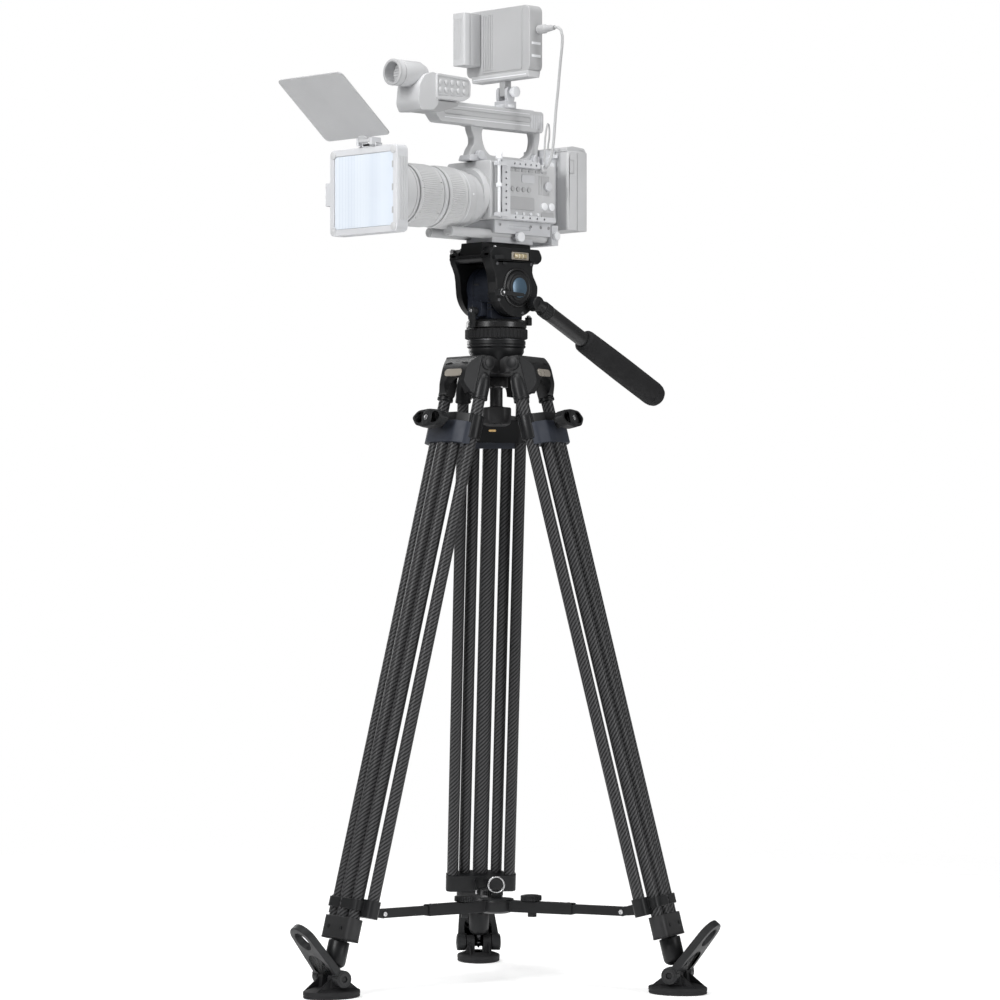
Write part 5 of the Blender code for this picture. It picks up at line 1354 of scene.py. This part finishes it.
def audio_unit():
    lift = Matrix.Translation((0, 0, 0.006))
    centre = (0, 0, 1.4257)
    mic = [(0.0175, -0.2255), (0.0196, -0.2255), (0.0205, -0.2246), (0.0205, -0.213), (0.0198, -0.2126),
           (0.0198, -0.2118), (0.0205, -0.2114), (0.0205, -0.172), (0.016, -0.161)]
    hollow = [rod(0.0165, "y", -0.23, -0.206, centre)]
    piece("mic_tube", "rig_grey", "camera", [turned(mic, "y", centre)], hollow, lift, 0.0004)
    mesh_lines = [block((-0.016, 0.016), (-0.2078, -0.2062),
                        (1.4257 + 0.0042 * i - 0.0006, 1.4257 + 0.0042 * i + 0.0006))
                  for i in range(-3, 4)]
    piece("mic_grille", "rig_dark", "camera", mesh_lines, (), lift, 0)
    head = rounded([
        (-0.19, 1.408), (-0.193, 1.38), (-0.187, 1.368), (-0.16, 1.37), (-0.15, 1.38),
        (-0.148, 1.423), (-0.16, 1.43), (-0.179, 1.424),
    ], 0.004)
    box = rounded([
        (-0.156, 1.388), (-0.098, 1.388), (-0.084, 1.396), (-0.083, 1.418), (-0.09, 1.426),
        (-0.156, 1.428),
    ], 0.004)
    base = rounded([(-0.17, 1.372), (-0.14, 1.372), (-0.1, 1.385), (-0.1, 1.39), (-0.17, 1.39)], 0.002)
    panel = [prism(rounded([(-0.154, 1.393), (-0.088, 1.396), (-0.088, 1.421), (-0.154, 1.424)], 0.003), "x",
                   *span(side, 0.0278, 0.04)) for side in (-1, 1)]
    piece("audio_shell", "rig_grey", "camera",
          [prism(head, "x", -0.026, 0.026), prism(box, "x", -0.029, 0.029)], panel, lift, 0.001,
          ["audio_unit"])
    piece("audio_base", "rig_dark", "camera", [prism(base, "x", -0.018, 0.018)], (),
          Matrix.Translation((0, 0, 0.003)), 0.0008)
    ring = [turned([(0.019, -0.2256), (0.0206, -0.225), (0.0208, -0.2225), (0.02, -0.2215)], "y", centre)]
    piece("mic_rim", "rig_dark", "camera", ring, [rod(0.0166, "y", -0.23, -0.206, centre)], lift,
          0.0002)
    knobs, buttons = [], []
    for side in (-1, 1):
        for i in range(5):
            knob = [(0.0046, 0.027), (0.0044, 0.029), (0.0034, 0.0296)]
            for z in (1.403, 1.415):
                knobs.append(turned([(r, side * h) for r, h in knob], "x", (0, -0.148 + 0.0128 * i, z), 24))
            buttons.append(block(span(side, 0.027, 0.0288), (-0.151 + 0.0128 * i, -0.146 + 0.0128 * i),
                                 (1.395, 1.397)))
    piece("audio_knobs", "rig_grey", "camera", knobs, (), lift, 0.0003)
    piece("audio_buttons", "rig_light", "camera", buttons, (), lift, 0.0005)


def monitor_parts():
    hinge = Vector(JOINTS["monitor_tilt"]["pos_m"]) - AXIS
    foot = 1.3943
    shoe = [
        block((-0.013, 0.013), (hinge.y - 0.012, hinge.y + 0.012), (foot, 1.406)),
        prism(rounded([(hinge.y - 0.0085, 1.404), (hinge.y + 0.0085, 1.404), (hinge.y + 0.0085, 1.429),
                       (hinge.y - 0.0085, 1.429)], 0.0075, 6), "x", -0.013, -0.0068),
        prism(rounded([(hinge.y - 0.0085, 1.404), (hinge.y + 0.0085, 1.404), (hinge.y + 0.0085, 1.429),
                       (hinge.y - 0.0085, 1.429)], 0.0075, 6), "x", 0.0068, 0.013),
    ]
    piece("mount_shoe", "rig_light", "camera", shoe, bevel=0.0008, replaces=["monitor_mount"])
    turn = (0, hinge.y, hinge.z)
    knob = [knurled(0.0085, 0.0008, 18, 0.018, 0.0265, "x", turn), rod(0.004, "x", 0.01, 0.02, turn),
            rod(0.0055, "x", -0.0148, -0.0125, turn)]
    knob.append(knurled(0.015, 0.0008, 30, foot + 0.0018, foot + 0.006, "z", (0, hinge.y, 0)))
    piece("mount_knobs", "rig_white", "camera", knob, bevel=0.0003)
    x, y, z = 0.0725, (0.003, 0.032), (1.447, 1.553)
    case = rounded([(-x, z[0]), (x, z[0]), (x, z[1]), (-x, z[1])], 0.013, 8)
    shapes = [prism(case, "y", *y), block((-0.0064, 0.0064), (hinge.y - 0.0075, hinge.y + 0.0075),
                                          (1.4135, 1.44))]
    cuts = [block((-x + 0.01, x - 0.01), (y[1] - 0.0015, y[1] + 0.01), (z[0] + 0.012, z[1] - 0.008))]
    piece("monitor_case", "rig_dark", "monitor", shapes, cuts, bevel=0.0016, replaces=["monitor"])
    panel = rounded([(-0.035, 1.452), (0.056, 1.452), (0.056, 1.549), (-0.035, 1.549)], 0.004)
    ribs = [block((-0.033 + 0.004 * i, -0.0308 + 0.004 * i), (y[0] - 0.0022, y[0] - 0.0004), (1.456, 1.545))
            for i in range(6)]
    piece("monitor_back", "rig_dark", "monitor",
          [prism(panel, "y", y[0] - 0.0012, y[0] + 0.001)] + ribs, bevel=0.0004)
    rail_side = rounded([(y[0] + 0.001, 1.4385), (y[1] - 0.004, 1.4385), (y[1] - 0.002, 1.449),
                         (y[0] - 0.001, 1.449)],
                        0.002)
    piece("monitor_rail", "rig_grey", "monitor", [prism(rail_side, "x", -0.06, x - 0.003)],
          bevel=0.0008)
    line = [block((-0.056, x - 0.008), (y[0] - 0.0004, y[0] + 0.0006), (1.4425, 1.444))]
    piece("monitor_line", "rig_white", "monitor", line, bevel=0.0002)
    glass_pane = [block((-x + 0.0105, x - 0.0105), (y[1] - 0.0016, y[1] - 0.0008),
                        (z[0] + 0.0125, z[1] - 0.0085))]
    piece("monitor_screen", "screen", "monitor", glass_pane, bevel=0.0002)
    feet = [block((x - 0.0008, x + 0.0008), (0.008, 0.027), (zz, zz + 0.004)) for zz in (1.47, 1.49)]
    feet += [block((cx - 0.01, cx + 0.01), (0.01, 0.026),
                   (z[1] - 0.001, z[1] - 0.0001)) for cx in (-0.04, 0.0, 0.04)]
    piece("monitor_buttons", "rig_white", "monitor", feet, bevel=0.0003)
    shell = rounded([(-0.065, -0.0346), (-0.0376, -0.0346), (-0.0376, y[0] - 0.0003),
                     (-0.065, y[0] - 0.0003)], 0.003)
    grooves = [block((-0.07, -0.064), (-0.02, -0.018), (1.47, 1.54)),
               block((-0.0385, -0.035), (-0.023, -0.02), (1.46, 1.55))]
    grooves += [block((-0.06 + 0.0045 * i, -0.0582 + 0.0045 * i), (-0.04, -0.0338),
                      (1.474, 1.538)) for i in range(4)]
    piece("battery_shell", "rig_grey", "monitor", [prism(shell, "z", 1.4636, 1.5475)], grooves,
          bevel=0.0006, replaces=["monitor_battery"])
    centre = (0, 0.023, 1.514)
    plug = [(0.0068, x + 0.0003), (0.0072, x + 0.001), (0.0072, x + 0.005), (0.0066, x + 0.0054),
            (0.0066, x + 0.0066), (0.0072, x + 0.007), (0.0072, x + 0.015), (0.0058, x + 0.0165),
            (0.005, 0.092), (0.0056, 0.0925), (0.005, 0.096), (0.0054, 0.0965), (0.0046, 0.1),
            (0.005, 0.1005), (0.004, 0.104), (0.0036, 0.1082)]
    piece("plug_shell", "rig_dark", "monitor", [turned(plug, "x", centre, 32)], bevel=0.0002,
          replaces=["cable_plug"])


def rear_battery():
    plate = rounded([(-0.048, 1.215), (0.02, 1.215), (0.02, 1.321), (-0.048, 1.321)], 0.004)
    shapes = [prism(plate, "y", 0.0873, 0.116), block((-0.03, 0.018), (0.09, 0.1155), (1.318, 1.333))]
    slots = [block((0.019, 0.022), (0.093 + 0.005 * i, 0.0955 + 0.005 * i), (1.24, 1.3)) for i in range(4)]
    piece("battery_mount", "rig_light", "camera", shapes, slots, bevel=0.0008,
          replaces=["battery_plate"])
    body = rounded([(-0.052, 0.1163), (0.045, 0.1163), (0.045, 0.162), (-0.052, 0.162)], 0.005, 5)
    cuts = [block((0.044, 0.046), (0.12, 0.13), (1.295, 1.317))]
    cuts += [block((-0.04, 0.033), (0.1613, 0.164), (1.22 + 0.05 * i, 1.221 + 0.05 * i)) for i in range(3)]
    cuts += [block((0.0443, 0.06), (0.1376, 0.1384), (1.19, 1.34)),
             block((-0.06, -0.0513), (0.1376, 0.1384), (1.19, 1.34))]
    lid = rounded([(0.1163, 1.33), (0.1163, 1.3375), (0.13, 1.34), (0.157, 1.338), (0.162, 1.33)], 0.003)
    case = [prism(body, "z", 1.204, 1.331), prism(lid, "x", -0.048, 0.042)]
    piece("battery_case", "rig_grey", "camera", case, cuts, bevel=0.0008,
          replaces=["rear_battery"])
    gauge = [block((0.0446, 0.0452), (0.121, 0.129), (1.296, 1.316))]
    piece("battery_gauge", "rig_grey", "camera", gauge, bevel=0.0002)
    release = [block((0.01, 0.026), (0.1, 0.112), (1.3205, 1.326)),
               rod(0.005, "x", 0.019, 0.024, (0, 0.102, 1.308))]
    piece("battery_release", "rig_white", "camera", release)


def main():
    add_camera()
    add_materials()
    monitor_cable()
    loop_cable()
    add_stage()
    for name in LEGS:
        matrix = leg_frame(name)
        shoulder(name, matrix)
        upper_stage(name, matrix)
        middle_stage(name, matrix)
        lower_stage(name, matrix)
        lock_knob(name, matrix)
        ankle = upright_frame("pad_tilt_" + name)
        foot_pad(name, ankle)
        foot_lever(name, ankle)
        spreader_arm(name, upright_frame("arm_" + name))
    spreader_hub()
    crown()
    tie_down()
    pan_parts()
    drum()
    cradle()
    controls()
    pan_handle()
    rig_base()
    camera_body()
    camera_cage()
    top_handle()
    lens()
    matte_box()
    matte_flag()
    audio_unit()
    monitor_parts()
    rear_battery()


main()
